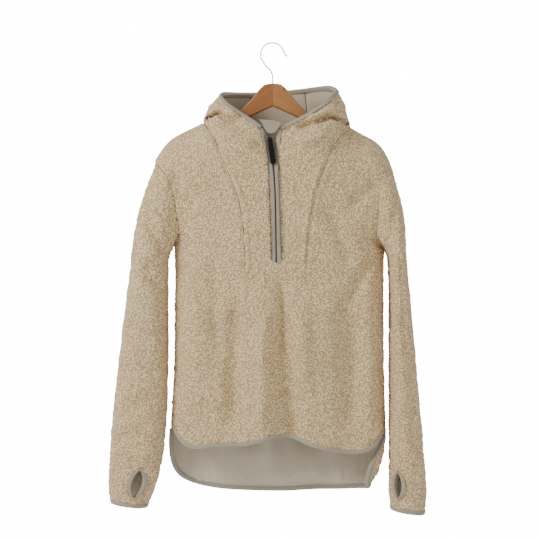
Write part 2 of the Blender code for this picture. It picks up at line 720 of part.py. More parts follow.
def sweep(name, sections, material, closed=False, crossed=()):
    """Solid swept through sections, each a loop of points; crossed sides split the other way."""
    sections = np.asarray(sections, float)
    count, size = sections.shape[:2]
    faces = []
    for k in range(count if closed else count - 1):
        for n in range(size):
            a, b = k * size + n, k * size + (n + 1) % size
            c, d = ((k + 1) % count) * size + (n + 1) % size, ((k + 1) % count) * size + n
            faces += [[a, b, d], [b, c, d]] if n in crossed else [[a, b, c], [a, c, d]]
    if not closed:
        faces.append(list(range(size))[::-1])
        faces.append([(count - 1) * size + n for n in range(size)])
    item = make_object(name, sections.reshape(-1, 3), faces, material)
    box = bmesh.new()
    box.from_mesh(item.data)
    bmesh.ops.recalc_face_normals(box, faces=box.faces)
    box.to_mesh(item.data)
    box.free()
    return item


def channel(name, panels, border, edge, cloth, material, closed=False, gap=CLOTH_GAP,
            trim=(TRIM_FRACTION, TRIM_FRACTION)):
    """Binding folded over a cloth edge: from its border line round the edge and back inside."""
    border, edge = np.array(border, float), np.array(edge, float)
    at_border = np.array([first_normal(panels, point) for point in border])
    at_edge = np.array([first_normal(panels, point) for point in edge])
    if not closed:
        for line in (border, edge, at_border, at_edge):
            line[0] += (line[1] - line[0]) * trim[0]
            line[-1] += (line[-2] - line[-1]) * trim[1]
    out = unit(edge - border) * BINDING
    outer, inner = gap + BINDING, cloth + gap
    low = inner + BINDING
    lines = (border + at_border * gap, border + at_border * outer,
             edge + at_edge * outer + out, edge - at_edge * low + out,
             border - at_border * low, border - at_border * inner,
             edge - at_edge * inner, edge + at_edge * gap)
    return sweep(name, np.stack(lines, axis=1), material, closed, crossed=(3, 7))


def first_normal(panels, point):
    """Normal at a place, from the first panel that has it."""
    for panel in panels:
        if key(point) in panel.index:
            return panel.normals[panel.index[key(point)]]
    raise ValueError("no panel has this point")


def thumb_binding(name, panel, grid, material, cloth):
    """Binding round a thumbhole: down one side of the slit and up the other."""
    first, last = THUMB_FIRST_ROW, THUMB_FIRST_ROW + THUMB_ROWS
    inside = range(first + 1, last)
    edge = [grid[first, 0]] + [grid[r, 0] for r in inside]
    edge += [grid[last, 0]] + [grid[r, -1] for r in reversed(inside)]
    border = [grid[first - 1, 0]] + [grid[r, 1] for r in inside]
    border += [grid[last + 1, 0]] + [grid[r, -2] for r in reversed(inside)]
    edge, border = np.array(edge), np.array(border)
    at_edge, at_border = normals_at(panel, edge), normals_at(panel, border)
    for n in (0, THUMB_ROWS):
        reach = THUMB_TIP_WIDTH / np.linalg.norm(border[n] - edge[n])
        border[n] = edge[n] + (border[n] - edge[n]) * reach
        at_border[n] = at_edge[n] + (at_border[n] - at_edge[n]) * reach
    out = unit(edge - border) * BINDING
    outer, inner = THUMB_GAP + BINDING, cloth + THUMB_GAP
    low = inner + BINDING
    lines = (border + at_border * THUMB_GAP, border + at_border * outer,
             edge + at_edge * outer + out, edge - at_edge * low + out,
             border - at_border * low, border - at_border * inner,
             edge - at_edge * inner, edge + at_edge * THUMB_GAP)
    return sweep(name, np.stack(lines, axis=1), material, closed=True)


# ------------------------------------------------------------------ garment

def build_garment(cloth, lining, trim, dark):
    """All cloth panels, linings and bindings."""
    seams = build_curves()
    hood = hood_grid(seams)
    left_end, right_start = HOOD_SIDE_ROWS, HOOD_SIDE_ROWS + NECK_CENTRE_CELLS
    front, back = Panel("front_body", "torso"), Panel("back", "torso")
    front_parts, back_parts = front_grids(seams, hood), back_grids(seams)
    for grid in front_parts:
        front.add_grid(grid)
    for grid in back_parts:
        back.add_grid(grid, flip=True)
    hoods = []
    for name, rows in (("hood_bib_left", hood[:left_end + 1]),
                       ("hood_centre", hood[left_end:right_start + 1]),
                       ("hood_bib_right", hood[right_start:])):
        panel = Panel(name, "hood")
        panel.add_grid(rows, flip=True)
        hoods.append(panel)
    sleeves = {}
    for side, name, column, width in ((-1, "left", THUMB_COLUMN_LEFT, THUMB_HALF_WIDTH_LEFT),
                                      (1, "right", THUMB_COLUMN_RIGHT, THUMB_HALF_WIDTH_RIGHT)):
        grid = open_thumbhole(sleeve_grid(seams, side), column, width)
        panel = Panel("sleeve_" + name, "sleeve_" + name)
        panel.add_grid(grid, flip=side > 0)
        sleeves[name] = (panel, grid)
    linings = []
    for name, rows in (("hood_lining_left", hood[V_ROW_LEFT:left_end + 1]),
                       ("hood_lining_centre", hood[left_end:right_start + 1]),
                       ("hood_lining_right", hood[right_start:V_ROW_RIGHT + 1])):
        panel = Panel(name, "hood")
        panel.add_grid(rows, flip=True)
        linings.append(panel)
    shells = [front, back, *hoods, sleeves["left"][0], sleeves["right"][0]]
    set_normals(shells + linings)
    for column in (-2, -1):
        even_out(hoods + linings, hood[V_ROW_LEFT:V_ROW_RIGHT + 1, column])
    for panel in shells:
        pull = SLEEVE_PULL if panel.kind.startswith("sleeve") else SEAM_PULL
        wall(panel, panel.name, cloth, 0.0, SHERPA, pull)
    near = SHERPA + CLOTH_GAP
    for panel in linings:
        wall(panel, panel.name, lining, near, LINED)
    wall(back, "back_lining", lining, near, LINED)
    for name, (panel, grid) in sleeves.items():
        wall(panel, "sleeve_lining_" + name, lining, near, LINED, SLEEVE_PULL)
        channel("cuff_binding_" + name, [panel], grid[-2, :-1], grid[-1, :-1], LINED, trim,
                closed=True)
        thumb_binding("thumb_binding_" + name, panel, grid, trim, LINED)
    opening = slice(V_ROW_LEFT, V_ROW_RIGHT + 1)
    channel("hood_binding", hoods, hood[opening, -2], hood[opening, -1], LINED, trim,
            gap=HOOD_BINDING_GAP)
    channel("zip_strip_left", hoods, hood[:V_ROW_LEFT + 1, -2], hood[:V_ROW_LEFT + 1, -1],
            SHERPA, trim)
    channel("zip_strip_right", hoods, hood[V_ROW_RIGHT:, -2], hood[V_ROW_RIGHT:, -1],
            SHERPA, trim)
    channel("front_hem_binding", [front], front_parts[2][-2], front_parts[2][-1], SHERPA, trim,
            trim=SLIT_TRIM)
    channel("back_hem_binding", [back], back_parts[2][-2], back_parts[2][-1], LINED, trim,
            gap=TAIL_BINDING_GAP, trim=TAIL_TRIM)
    zip_tape("zip_tape_left", hoods, hood[:V_ROW_LEFT + 1], dark)
    zip_tape("zip_tape_right", hoods, hood[V_ROW_RIGHT:], dark)
    return hood, hoods


def zip_tape(name, panels, rows, material):
    """Tape sewn behind a bib edge, out to the zip's middle."""
    border, edge = rows[:, -2].copy(), rows[:, -1].copy()
    at_border = np.array([first_normal(panels, point) for point in border])
    at_edge = np.array([first_normal(panels, point) for point in edge])
    for line in (border, edge, at_border, at_edge):
        line[0] += (line[1] - line[0]) * TRIM_FRACTION
        line[-1] += (line[-2] - line[-1]) * TRIM_FRACTION
    out = unit(edge - border) * TAPE_REACH
    low = TAPE_DEPTH + TAPE
    lines = (border - at_border * TAPE_DEPTH, edge - at_edge * TAPE_DEPTH + out,
             edge - at_edge * low + out, border - at_border * low)
    return sweep(name, np.stack(lines, axis=1), material)


# ------------------------------------------------------------------ hanger and hook

def tube(name, points, diameter, material):
    """Round wire along points."""
    curve = bpy.data.curves.new(name, "CURVE")
    curve.dimensions = "3D"
    curve.bevel_depth = diameter / 2
    curve.bevel_resolution = 3
    curve.use_fill_caps = True
    spline = curve.splines.new("POLY")
    spline.points.add(len(points) - 1)
    for spot, point in zip(spline.points, points):
        spot.co = (*point, 1.0)
    curve.materials.append(material)
    item = bpy.data.objects.new(name, curve)
    bpy.context.scene.collection.objects.link(item)
    return item


def slab(name, outline, low, high, material):
    """Solid of an outline in X and Z between two Y values, seen from -Y anticlockwise."""
    count = len(outline)
    points = [(x, low, z) for x, z in outline] + [(x, high, z) for x, z in outline]
    faces = [list(range(count)), list(range(count, 2 * count))[::-1]]
    faces += [[n, n + count, (n + 1) % count + count, (n + 1) % count] for n in range(count)]
    return make_object(name, points, faces, material, smooth_faces=False)


def bevel(item, width, segments=2):
    """Round an object's edges."""
    modifier = item.modifiers.new("rounding", "BEVEL")
    modifier.width = width
    modifier.segments = segments
    modifier.limit_method = "ANGLE"
    modifier.angle_limit = math.radians(40)
    return item


def hanger_half(name, side, material):
    """One wooden half: a rounded root at the hook and an arm under the shoulder."""
    neck_x = abs(LEFT_NECK_X if side < 0 else RIGHT_NECK_X)
    rows = list(HANGER_ARM)
    for share in (0.0, 0.35, 0.7, 1.0):
        x = neck_x + (HANGER_TIP_X - neck_x) * share
        top = float(smooth(SHOULDER_LINE, side * x)[0]) + HANGER_CLEARANCE
        height = HANGER_ROOT_HEIGHT + (HANGER_TIP_HEIGHT - HANGER_ROOT_HEIGHT) * share
        rows.append((x, top, top + height))
    xs = np.concatenate((np.linspace(0.0, HANGER_ARM[-1][0], 9),
                         np.linspace(HANGER_ARM[-1][0], HANGER_TIP_X, 7)[1:]))
    top = [(x, -smooth(rows, x)[0]) for x in xs]
    low = [(x, -smooth(rows, x)[1]) for x in xs]
    middle = (top[-1][1] + low[-1][1]) / 2
    radius = (top[-1][1] - low[-1][1]) / 2
    tip = [(HANGER_TIP_X + radius * math.cos(a), middle + radius * math.sin(a))
           for a in np.radians((45, 0, -45))]
    outline = [(side * max(x, HANGER_HALF_GAP), z) for x, z in top + tip + low[::-1]]
    if side > 0:
        outline.reverse()
    return bevel(slab(name, outline, -HANGER_THICKNESS / 2, HANGER_THICKNESS / 2, material),
                 HANGER_EDGE_RADIUS)


def hook(material):
    """Steel hook: shank, round bow and a tip that turns out."""
    centre_x, centre_z = HOOK_LEAN, HOOK_WIRE / 2 - HOOK_RADIUS
    bow = [(centre_x + HOOK_RADIUS * math.cos(a), centre_z + HOOK_RADIUS * math.sin(a))
           for a in np.radians(np.linspace(218, 14, 16))]
    shank = [(-0.0008, -HANGER_ARM[0][1] + CLOTH_GAP), (-0.0008, -0.0660), (-0.0030, -0.0575),
             (-0.0078, -0.0510), (-0.0140, -0.0450)]
    tip = [(0.0235, -0.0200), (0.0262, -0.0235), (0.0295, -0.0260)]
    path = along(shank + bow + tip, even(40))
    return tube("hanger_hook", [(x, 0.0, z) for x, z in path], HOOK_WIRE, material)


# ------------------------------------------------------------------ zip hardware

def zip_frame():
    """Place of the pull tab's hinge and the face of the cloth behind it."""
    x = zip_x(SLIDER_DROP)
    face = front_y(x, SLIDER_DROP)
    return x, face


def tilted(item, x, y, z):
    """Stand an object on a place, turned with the zip."""
    item.location = (x, y, z)
    item.rotation_euler = (0.0, -TAB_TILT, 0.0)
    return item


def build_zip_hardware(metal, black, trim):
    """Slider, its bridge, the pull tab that swings on it, and the cloth garage above."""
    x, face = zip_frame()
    hinge_y, z = face - HINGE_STANDOFF, -SLIDER_DROP
    width, thick, height = SLIDER_SIZE
    front = hinge_y - (face - SLIDER_STANDOFF - thick)
    outline = rounded_box(width, height, SLIDER_CORNER)
    slider = slab("zip_slider", outline, -front, -front + thick, metal)
    bevel(tilted(slider, x, hinge_y, z), 0.0005, 1)
    reach = BRIDGE_REACH
    path = [(0.0, -front - CLOTH_GAP, reach)]
    path += [(0.0, -reach * math.cos(a), reach * math.sin(a))
             for a in np.radians(np.linspace(75, -75, 7))]
    path += [(0.0, -front - CLOTH_GAP, -reach)]
    tilted(tube("slider_bridge", path, BRIDGE_WIRE, metal), x, hinge_y, z)
    hinge = bpy.data.objects.new("tab_hinge", None)
    bpy.context.scene.collection.objects.link(hinge)
    tilted(hinge, x, hinge_y, z)
    tab = pull_tab(black)
    tab.parent = hinge
    garage(face, trim)


def rounded_box(width, height, radius):
    """Outline of a box with cut corners, seen from -Y anticlockwise."""
    w, h, r = width / 2, height / 2, radius
    return [(-w, h - r), (-w, -h + r), (-w + r, -h), (w - r, -h), (w, -h + r), (w, h - r),
            (w - r, h), (-w + r, h)]


def pull_tab(material):
    """Tab with a window at its head, which hooks round the bridge."""
    half_top, half_foot = TAB_WIDTH_TOP / 2, TAB_WIDTH_FOOT / 2
    length, shoulder, corner = TAB_LENGTH, TAB_SHOULDER, TAB_CORNER
    outline = [(-half_top + corner, TAB_HEAD), (-half_top, TAB_HEAD - corner),
               (-half_foot, -length + shoulder), (-half_foot * 0.62, -length + 0.0010),
               (0.0, -length), (half_foot * 0.62, -length + 0.0010),
               (half_foot, -length + shoulder), (half_top, TAB_HEAD - corner),
               (half_top - corner, TAB_HEAD)]
    half = TAB_THICKNESS / 2
    tab = slab("pull_tab", outline, -half, half, material)
    window_width, window_height = TAB_WINDOW
    high = -TAB_HEAD
    box = [(-window_width / 2, high), (-window_width / 2, high - window_height),
           (window_width / 2, high - window_height), (window_width / 2, high)]
    cutter = slab("tab_window", box, -TAB_THICKNESS, TAB_THICKNESS, material)
    cutter.hide_render = True
    cutter.display_type = "WIRE"
    cutter.parent = tab
    cut = tab.modifiers.new("window", "BOOLEAN")
    cut.operation = "DIFFERENCE"
    cut.solver = "EXACT"
    cut.object = cutter
    return tab


def garage(face, material):
    """Rounded cloth flap over the zip's upper end."""
    left = [(zip_x(drop) + start, -drop) for drop, start, _ in GARAGE_SHAPE]
    right = [(zip_x(drop) + end, -drop) for drop, _, end in reversed(GARAGE_SHAPE)]
    back = face - GARAGE_STANDOFF
    return slab("zip_garage", left + right, back - GARAGE_THICKNESS, back, material)


def main():
    """Build the pullover on its hanger."""
    clear_scene()
    cloth = new_material("sherpa", (0.62, 0.50, 0.36), 0.95)
    lining = new_material("lining", (0.36, 0.33, 0.27), 0.55)
    trim = new_material("binding", (0.30, 0.28, 0.22), 0.65)
    black = new_material("black_rubber", (0.015, 0.015, 0.016), 0.5)
    metal = new_material("dark_metal", (0.10, 0.10, 0.10), 0.4, 1.0)
    wood = new_material("wood", (0.50, 0.22, 0.07), 0.4)
    steel = new_material("steel", (0.55, 0.55, 0.55), 0.3, 1.0)
    build_garment(cloth, lining, trim, black)
    hanger_half("hanger_left", -1, wood)
    hanger_half("hanger_right", 1, wood)
    hook(steel)
    build_zip_hardware(metal, black, trim)


main()
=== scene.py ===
"""Sherpa fleece pullover on a wooden hanger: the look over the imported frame."""

import math

import bmesh
import bpy
import numpy as np
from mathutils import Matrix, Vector
from mathutils.bvhtree import BVHTree


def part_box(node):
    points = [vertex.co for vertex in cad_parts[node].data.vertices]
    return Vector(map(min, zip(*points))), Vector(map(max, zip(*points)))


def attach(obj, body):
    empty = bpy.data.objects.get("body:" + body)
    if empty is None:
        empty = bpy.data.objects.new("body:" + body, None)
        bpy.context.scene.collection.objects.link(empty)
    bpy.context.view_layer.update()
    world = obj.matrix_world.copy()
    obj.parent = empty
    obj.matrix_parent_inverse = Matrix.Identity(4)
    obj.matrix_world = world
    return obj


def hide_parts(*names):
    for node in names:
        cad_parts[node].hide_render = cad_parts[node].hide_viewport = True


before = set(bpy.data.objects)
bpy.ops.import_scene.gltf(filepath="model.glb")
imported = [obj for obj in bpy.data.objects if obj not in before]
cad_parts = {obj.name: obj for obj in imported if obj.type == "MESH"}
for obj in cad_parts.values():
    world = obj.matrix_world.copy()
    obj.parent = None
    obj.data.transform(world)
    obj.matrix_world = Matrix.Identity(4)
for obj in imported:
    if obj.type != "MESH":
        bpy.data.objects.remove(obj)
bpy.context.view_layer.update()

bl_info = {
    "name": "Sherpa pullover on a hanger",
    "version": (1, 0, 0),
    "blender": (4, 5, 0),
    "location": "View3D > Sidebar > Pullover",
    "description": "Builds a hooded sherpa fleece pullover that hangs on a wooden hanger",
    "category": "Object",
}

TAB_TURN = math.radians(8.0)
TAB_HINGE = Vector((-0.005737, -0.067635, -0.199))

# Cloth pieces: node, kind, refinement, cut width, cut length, cut area
PANELS = (
    ("front_body", "sherpa", 3, 0.560, 0.620, 0.2400),
    ("back", "sherpa", 3, 0.580, 0.760, 0.3440),
    ("hood_bib_left", "sherpa", 3, 0.190, 0.480, 0.0550),
    ("hood_bib_right", "sherpa", 3, 0.190, 0.490, 0.0580),
    ("hood_centre", "sherpa", 3, 0.160, 0.340, 0.0450),
    ("sleeve_left", "sherpa", 3, 0.380, 0.700, 0.1940),
    ("sleeve_right", "sherpa", 3, 0.370, 0.690, 0.1740),
    ("hood_lining_left", "lining", 2, 0.180, 0.300, 0.0340),
    ("hood_lining_centre", "lining", 2, 0.158, 0.335, 0.0430),
    ("hood_lining_right", "lining", 2, 0.190, 0.300, 0.0370),
    ("back_lining", "lining", 3, 0.575, 0.750, 0.3360),
    ("sleeve_lining_left", "lining", 2, 0.370, 0.690, 0.1840),
    ("sleeve_lining_right", "lining", 2, 0.360, 0.680, 0.1640),
    ("hood_binding", "binding", 2, 0.022, 0.680, None),
    ("zip_strip_left", "binding", 2, 0.021, 0.262, None),
    ("zip_strip_right", "binding", 2, 0.021, 0.262, None),
    ("front_hem_binding", "binding", 2, 0.021, 0.500, None),
    ("back_hem_binding", "binding", 2, 0.023, 0.620, None),
    ("cuff_binding_left", "binding", 2, 0.023, 0.240, None),
    ("cuff_binding_right", "binding", 2, 0.023, 0.240, None),
    ("thumb_binding_left", "binding", 2, 0.023, 0.130, None),
    ("thumb_binding_right", "binding", 2, 0.023, 0.125, None),
    ("zip_tape_left", "tape", 1, 0.010, 0.260, None),
    ("zip_tape_right", "tape", 1, 0.010, 0.260, None),
)
CREASE_SCALE = 2.8
# Creases: side (-1 front, 1 back, 0 both), (x, z) of both ends, half width, depth; below 0 a ridge
CREASES = (
    (-1, (0.016, -0.478), (0.020, -0.620), 0.0080, 0.0036),
    (-1, (0.020, -0.600), (0.034, -0.780), 0.0140, 0.0030),
    (-1, (-0.018, -0.520), (-0.022, -0.760), 0.0160, -0.0045),
    (-1, (0.056, -0.520), (0.062, -0.700), 0.0150, -0.0040),
    (-1, (-0.074, -0.520), (-0.080, -0.760), 0.0180, 0.0050),
    (-1, (-0.150, -0.440), (-0.160, -0.740), 0.0240, -0.0040),
    (-1, (-0.118, -0.430), (-0.106, -0.640), 0.0140, 0.0030),
    (-1, (0.146, -0.540), (0.150, -0.760), 0.0200, 0.0060),
    (-1, (0.190, -0.460), (0.192, -0.740), 0.0160, -0.0040),
    (-1, (0.196, -0.430), (0.120, -0.560), 0.0110, 0.0034),
    (-1, (-0.184, -0.430), (-0.130, -0.520), 0.0120, 0.0036),
    (-1, (-0.200, -0.270), (-0.150, -0.330), 0.0120, 0.0032),
    (-1, (0.205, -0.280), (0.150, -0.330), 0.0120, 0.0032),
    (-1, (0.110, -0.330), (0.150, -0.440), 0.0160, 0.0026),
    (-1, (-0.0988, -0.1810), (-0.0386, -0.2046), 0.0080, -0.0042),
    (-1, (-0.1050, -0.1700), (-0.0450, -0.1930), 0.0070, 0.0046),
    (-1, (-0.1100, -0.1410), (-0.0940, -0.1570), 0.0055, 0.0085),
    (-1, (-0.0940, -0.1570), (-0.0640, -0.1690), 0.0070, 0.0060),
    (-1, (-0.1320, -0.1546), (-0.1100, -0.1404), 0.0040, 0.0120),
    (-1, (-0.1180, -0.1260), (-0.0700, -0.1500), 0.0080, -0.0040),
    (-1, (0.1126, -0.1510), (0.1318, -0.1586), 0.0040, 0.0100),
    (-1, (0.1318, -0.1586), (0.1496, -0.1650), 0.0045, 0.0090),
    (-1, (0.1126, -0.1510), (0.0832, -0.1638), 0.0060, 0.0080),
    (-1, (0.0832, -0.1638), (0.0480, -0.1760), 0.0070, 0.0056),
    (-1, (0.1200, -0.1360), (0.0700, -0.1560), 0.0080, -0.0040),
    (-1, (0.1040, -0.1900), (0.0500, -0.2040), 0.0090, -0.0030),
    (1, (-0.090, -0.420), (-0.108, -0.820), 0.0180, 0.0060),
    (1, (0.004, -0.400), (-0.012, -0.830), 0.0160, 0.0064),
    (1, (0.104, -0.420), (0.118, -0.800), 0.0180, 0.0056),
    (1, (-0.044, -0.460), (-0.056, -0.800), 0.0160, -0.0040),
    (1, (0.056, -0.460), (0.060, -0.800), 0.0160, -0.0040),
    (1, (-0.185, -0.430), (-0.120, -0.540), 0.0130, 0.0040),
    (1, (0.200, -0.430), (0.130, -0.540), 0.0130, 0.0040),
    (1, (-0.190, -0.300), (-0.130, -0.340), 0.0140, 0.0030),
    (1, (0.190, -0.300), (0.140, -0.340), 0.0140, 0.0030),
    (0, (-0.290, -0.560), (-0.236, -0.600), 0.0130, 0.0030),
    (0, (-0.300, -0.640), (-0.230, -0.650), 0.0120, 0.0026),
    (0, (-0.236, -0.700), (-0.300, -0.735), 0.0130, 0.0030),
    (0, (-0.312, -0.790), (-0.250, -0.770), 0.0110, 0.0026),
    (0, (-0.255, -0.330), (-0.215, -0.420), 0.0120, 0.0034),
    (0, (-0.250, -0.440), (-0.215, -0.500), 0.0120, 0.0030),
    (0, (0.250, -0.420), (0.262, -0.640), 0.0100, 0.0034),
    (0, (0.268, -0.600), (0.278, -0.800), 0.0090, 0.0030),
    (0, (0.236, -0.560), (0.280, -0.590), 0.0120, 0.0026),
    (0, (0.300, -0.720), (0.240, -0.745), 0.0120, 0.0028),
    (0, (0.238, -0.330), (0.228, -0.420), 0.0110, 0.0034),
)
# Seams on the front, each a soft trough between two ridges: points in x and z
PRINCESS_LEFT = ((-0.0550, -0.4374), (-0.0600, -0.3630), (-0.0673, -0.3180), (-0.0772, -0.2890),
                 (-0.0948, -0.2520), (-0.1100, -0.2070), (-0.1215, -0.1860), (-0.1406, -0.1590))
PRINCESS_RIGHT = ((0.0657, -0.4412), (0.0694, -0.3925), (0.0757, -0.3440), (0.0845, -0.3010),
                  (0.0944, -0.2700), (0.1145, -0.2170), (0.1250, -0.1900), (0.1560, -0.1680))
ZIP_CENTRE = ((-0.0100, -0.150), (-0.0068, -0.190), (0.0000, -0.240), (0.0066, -0.437))
GARAGE = ((-0.0277, -0.1603), (-0.0160, -0.1610), (0.0007, -0.1623), (0.0157, -0.1670),
          (0.0107, -0.1763), (0.0040, -0.1847), (-0.0027, -0.1873), (-0.0110, -0.1857),
          (-0.0160, -0.1790), (-0.0210, -0.1680))
GARAGE_THICK = 0.0012
GARAGE_FRONT = -0.0706
GARAGE_LEAN = 0.0036
# Princess seams: depth and half width of the trough, and of the ridges beside it
TROUGH = {"depth": 0.0026, "width": 0.0030}
RIDGE = {"depth": 0.0022, "width": 0.0040, "away": 0.0075}
# Tops of the armholes: side, x, z, move of the body's cloth, move of the sleeve's
SHOULDERS = ((-1, -0.2376, -0.2350, -0.0002, 0.0004), (1, 0.2436, -0.2558, -0.0020, 0.0014))
SHOULDER_REACH = 0.018
# Faces that meet at a sharper angle than this are on two sides of the cloth, or on its rim
SIDE_ANGLE = math.radians(48)
RIM_REACH = 0.0013
RIM_CREASE = {"sherpa": 0.75, "other": 0.9}
# Soft waves over all the cloth, and the clumps that the sherpa's curls gather in
WAVE = {"depth": 0.0022, "size": 0.11, "seed": 5}
CURL_STRETCH = 1.4
CLUMP = {"size": 0.011, "share": 0.5}
HOOD_LINING_IN = 0.0016
# Tail of the back lining: gathers over its binding, and soft billows above them
TAIL_LINE = -0.884
GATHER = {"pitch": 0.0170, "depth": 0.0016, "height": 0.030, "low": -0.870, "high": -0.80,
          "wander": 2.2, "fade": 0.006, "reach": 0.165, "side_fade": 0.03}
BILLOW = {"depth": 0.0034, "size": 0.045, "high": -0.770, "rise": 0.03, "fade": 0.02,
          "reach": 0.175, "side_fade": 0.04, "stretch": (1.0, 1.0, 0.35), "most": 2.2}
# Stitches along the zip strips, and the zip's teeth
STITCH_LINE = 0.0099
STITCHES = {"top": -0.190, "foot": -0.434, "length": 0.0030, "width": 0.0015, "height": 0.0028,
            "pitch": 0.0046}
TEETH = {"top": -0.186, "foot": -0.432, "length": 0.0010, "width": 0.0024, "height": 0.0010,
         "away": 0.0020}
RIBS = {"count": 9, "first": 0.0130, "pitch": 0.0036, "half_length": 0.0031,
        "half_width": 0.0007, "lifts": (0.0002, -0.0004)}
# Boxes that close the joint between the hanger's halves: x past the middle, x into the half, z
JOINT_PAST = 0.0004
JOINT_INTO = 0.0034
JOINT_HALF_DEPTH = {"hanger_left": 0.0064, "hanger_right": 0.00635}
JOINT_HEIGHTS = (-0.1252, -0.0808)
GRAIN_LEAN = 0.62
FLOOR = {"half_width": 2.2, "near": -2.2, "far": 0.7, "height": -1.20}
# Lamps: name, place, size
LAMPS = (("key", (-2.0, -1.3, 0.9), 0.9), ("fill", (1.9, -1.6, 0.1), 1.8))
LAMP_AIM = Vector((0, 0, -0.45))
CAMERA_PLACE = (-0.006, -2.55, -0.453)
# Corners of a box's lower then upper ring, and its faces
RING = ((-1, -1), (1, -1), (1, 1), (-1, 1))
BOX_FACES = ((4, 5, 6, 7), (0, 1, 5, 4), (1, 2, 6, 5), (2, 3, 7, 6), (3, 0, 4, 7), (3, 2, 1, 0))


class ClothSettings(bpy.types.PropertyGroup):
    """Sizes and colours of the cloth."""

    pile: bpy.props.FloatProperty(
        name="Pile", description="Height of the sherpa curls", default=0.0016, unit="LENGTH")
    curl: bpy.props.FloatProperty(
        name="Curl size", description="Width of one sherpa curl", default=0.0036, unit="LENGTH")
    sherpa: bpy.props.FloatVectorProperty(
        name="Sherpa", description="Colour on top of the curls", default=(0.990, 0.770, 0.430),
        size=3, subtype="COLOR")
    # Colour mixed in where the curls are low: painted shade in the hollows between the curls
    sherpa_painted_shade: bpy.props.FloatVectorProperty(
        name="Sherpa depth", description="Colour between the curls",
        default=(0.500, 0.335, 0.165), size=3, subtype="COLOR")
    lining: bpy.props.FloatVectorProperty(
        name="Lining", description="Colour of the lining", default=(0.620, 0.535, 0.395),
        size=3, subtype="COLOR")
    binding: bpy.props.FloatVectorProperty(
        name="Binding", description="Colour of the bindings", default=(0.400, 0.350, 0.255),
        size=3, subtype="COLOR")
    # Near black: the thread's colour, darkened further with painted shade along the stitches
    thread: bpy.props.FloatVectorProperty(
        name="Thread", description="Colour of the stitches", default=(0.085, 0.066, 0.048),
        size=3, subtype="COLOR")


class HardSettings(bpy.types.PropertyGroup):
    """Colours of the hanger and the zip."""

    wood: bpy.props.FloatVectorProperty(
        name="Wood", description="Colour of the right half of the hanger",
        default=(0.410, 0.170, 0.040), size=3, subtype="COLOR")
    # Left half: the same wood in a darker copy, painted shade for the side turned away from the
    # light
    wood_in_painted_shade: bpy.props.FloatVectorProperty(
        name="Dark wood", description="Colour of the left half of the hanger",
        default=(0.340, 0.122, 0.024), size=3, subtype="COLOR")
    tab: bpy.props.FloatVectorProperty(
        name="Pull tab", description="Colour of the pull tab", default=(0.004, 0.004, 0.005),
        size=3, subtype="COLOR")
    tooth_pitch: bpy.props.FloatProperty(
        name="Tooth pitch", description="Distance between zip teeth", default=0.0021,
        unit="LENGTH")


class StageSettings(bpy.types.PropertyGroup):
    """Light and floor."""

    key: bpy.props.FloatProperty(
        name="Key light", description="Power of the key light", default=60.0, unit="POWER")
    fill: bpy.props.FloatProperty(
        name="Fill light", description="Power of the fill light", default=11.0, unit="POWER")
    sky: bpy.props.FloatProperty(
        name="Sky", description="Strength of the light from all round", default=0.60)
    backdrop: bpy.props.FloatProperty(
        name="Backdrop", description="Brightness of the white behind the object", default=16.0)


# ------------------------------------------------------------------ shader groups

def make_group(name, inputs, outputs):
    """Empty shader node group with its sockets, and its input and output nodes."""
    group = bpy.data.node_groups.new(name, "ShaderNodeTree")
    for label, kind, default in inputs:
        socket = group.interface.new_socket(label, in_out="INPUT", socket_type=kind)
        socket.default_value = default
    for label, kind in outputs:
        group.interface.new_socket(label, in_out="OUTPUT", socket_type=kind)
    return group, group.nodes.new("NodeGroupInput"), group.nodes.new("NodeGroupOutput")


def node(tree, kind, **values):
    """Node of a kind, with attributes and input values set by name."""
    item = tree.nodes.new(kind)
    for name, value in values.items():
        if hasattr(item, name):
            setattr(item, name, value)
        else:
            item.inputs[name.replace("_", " ")].default_value = value
    return item


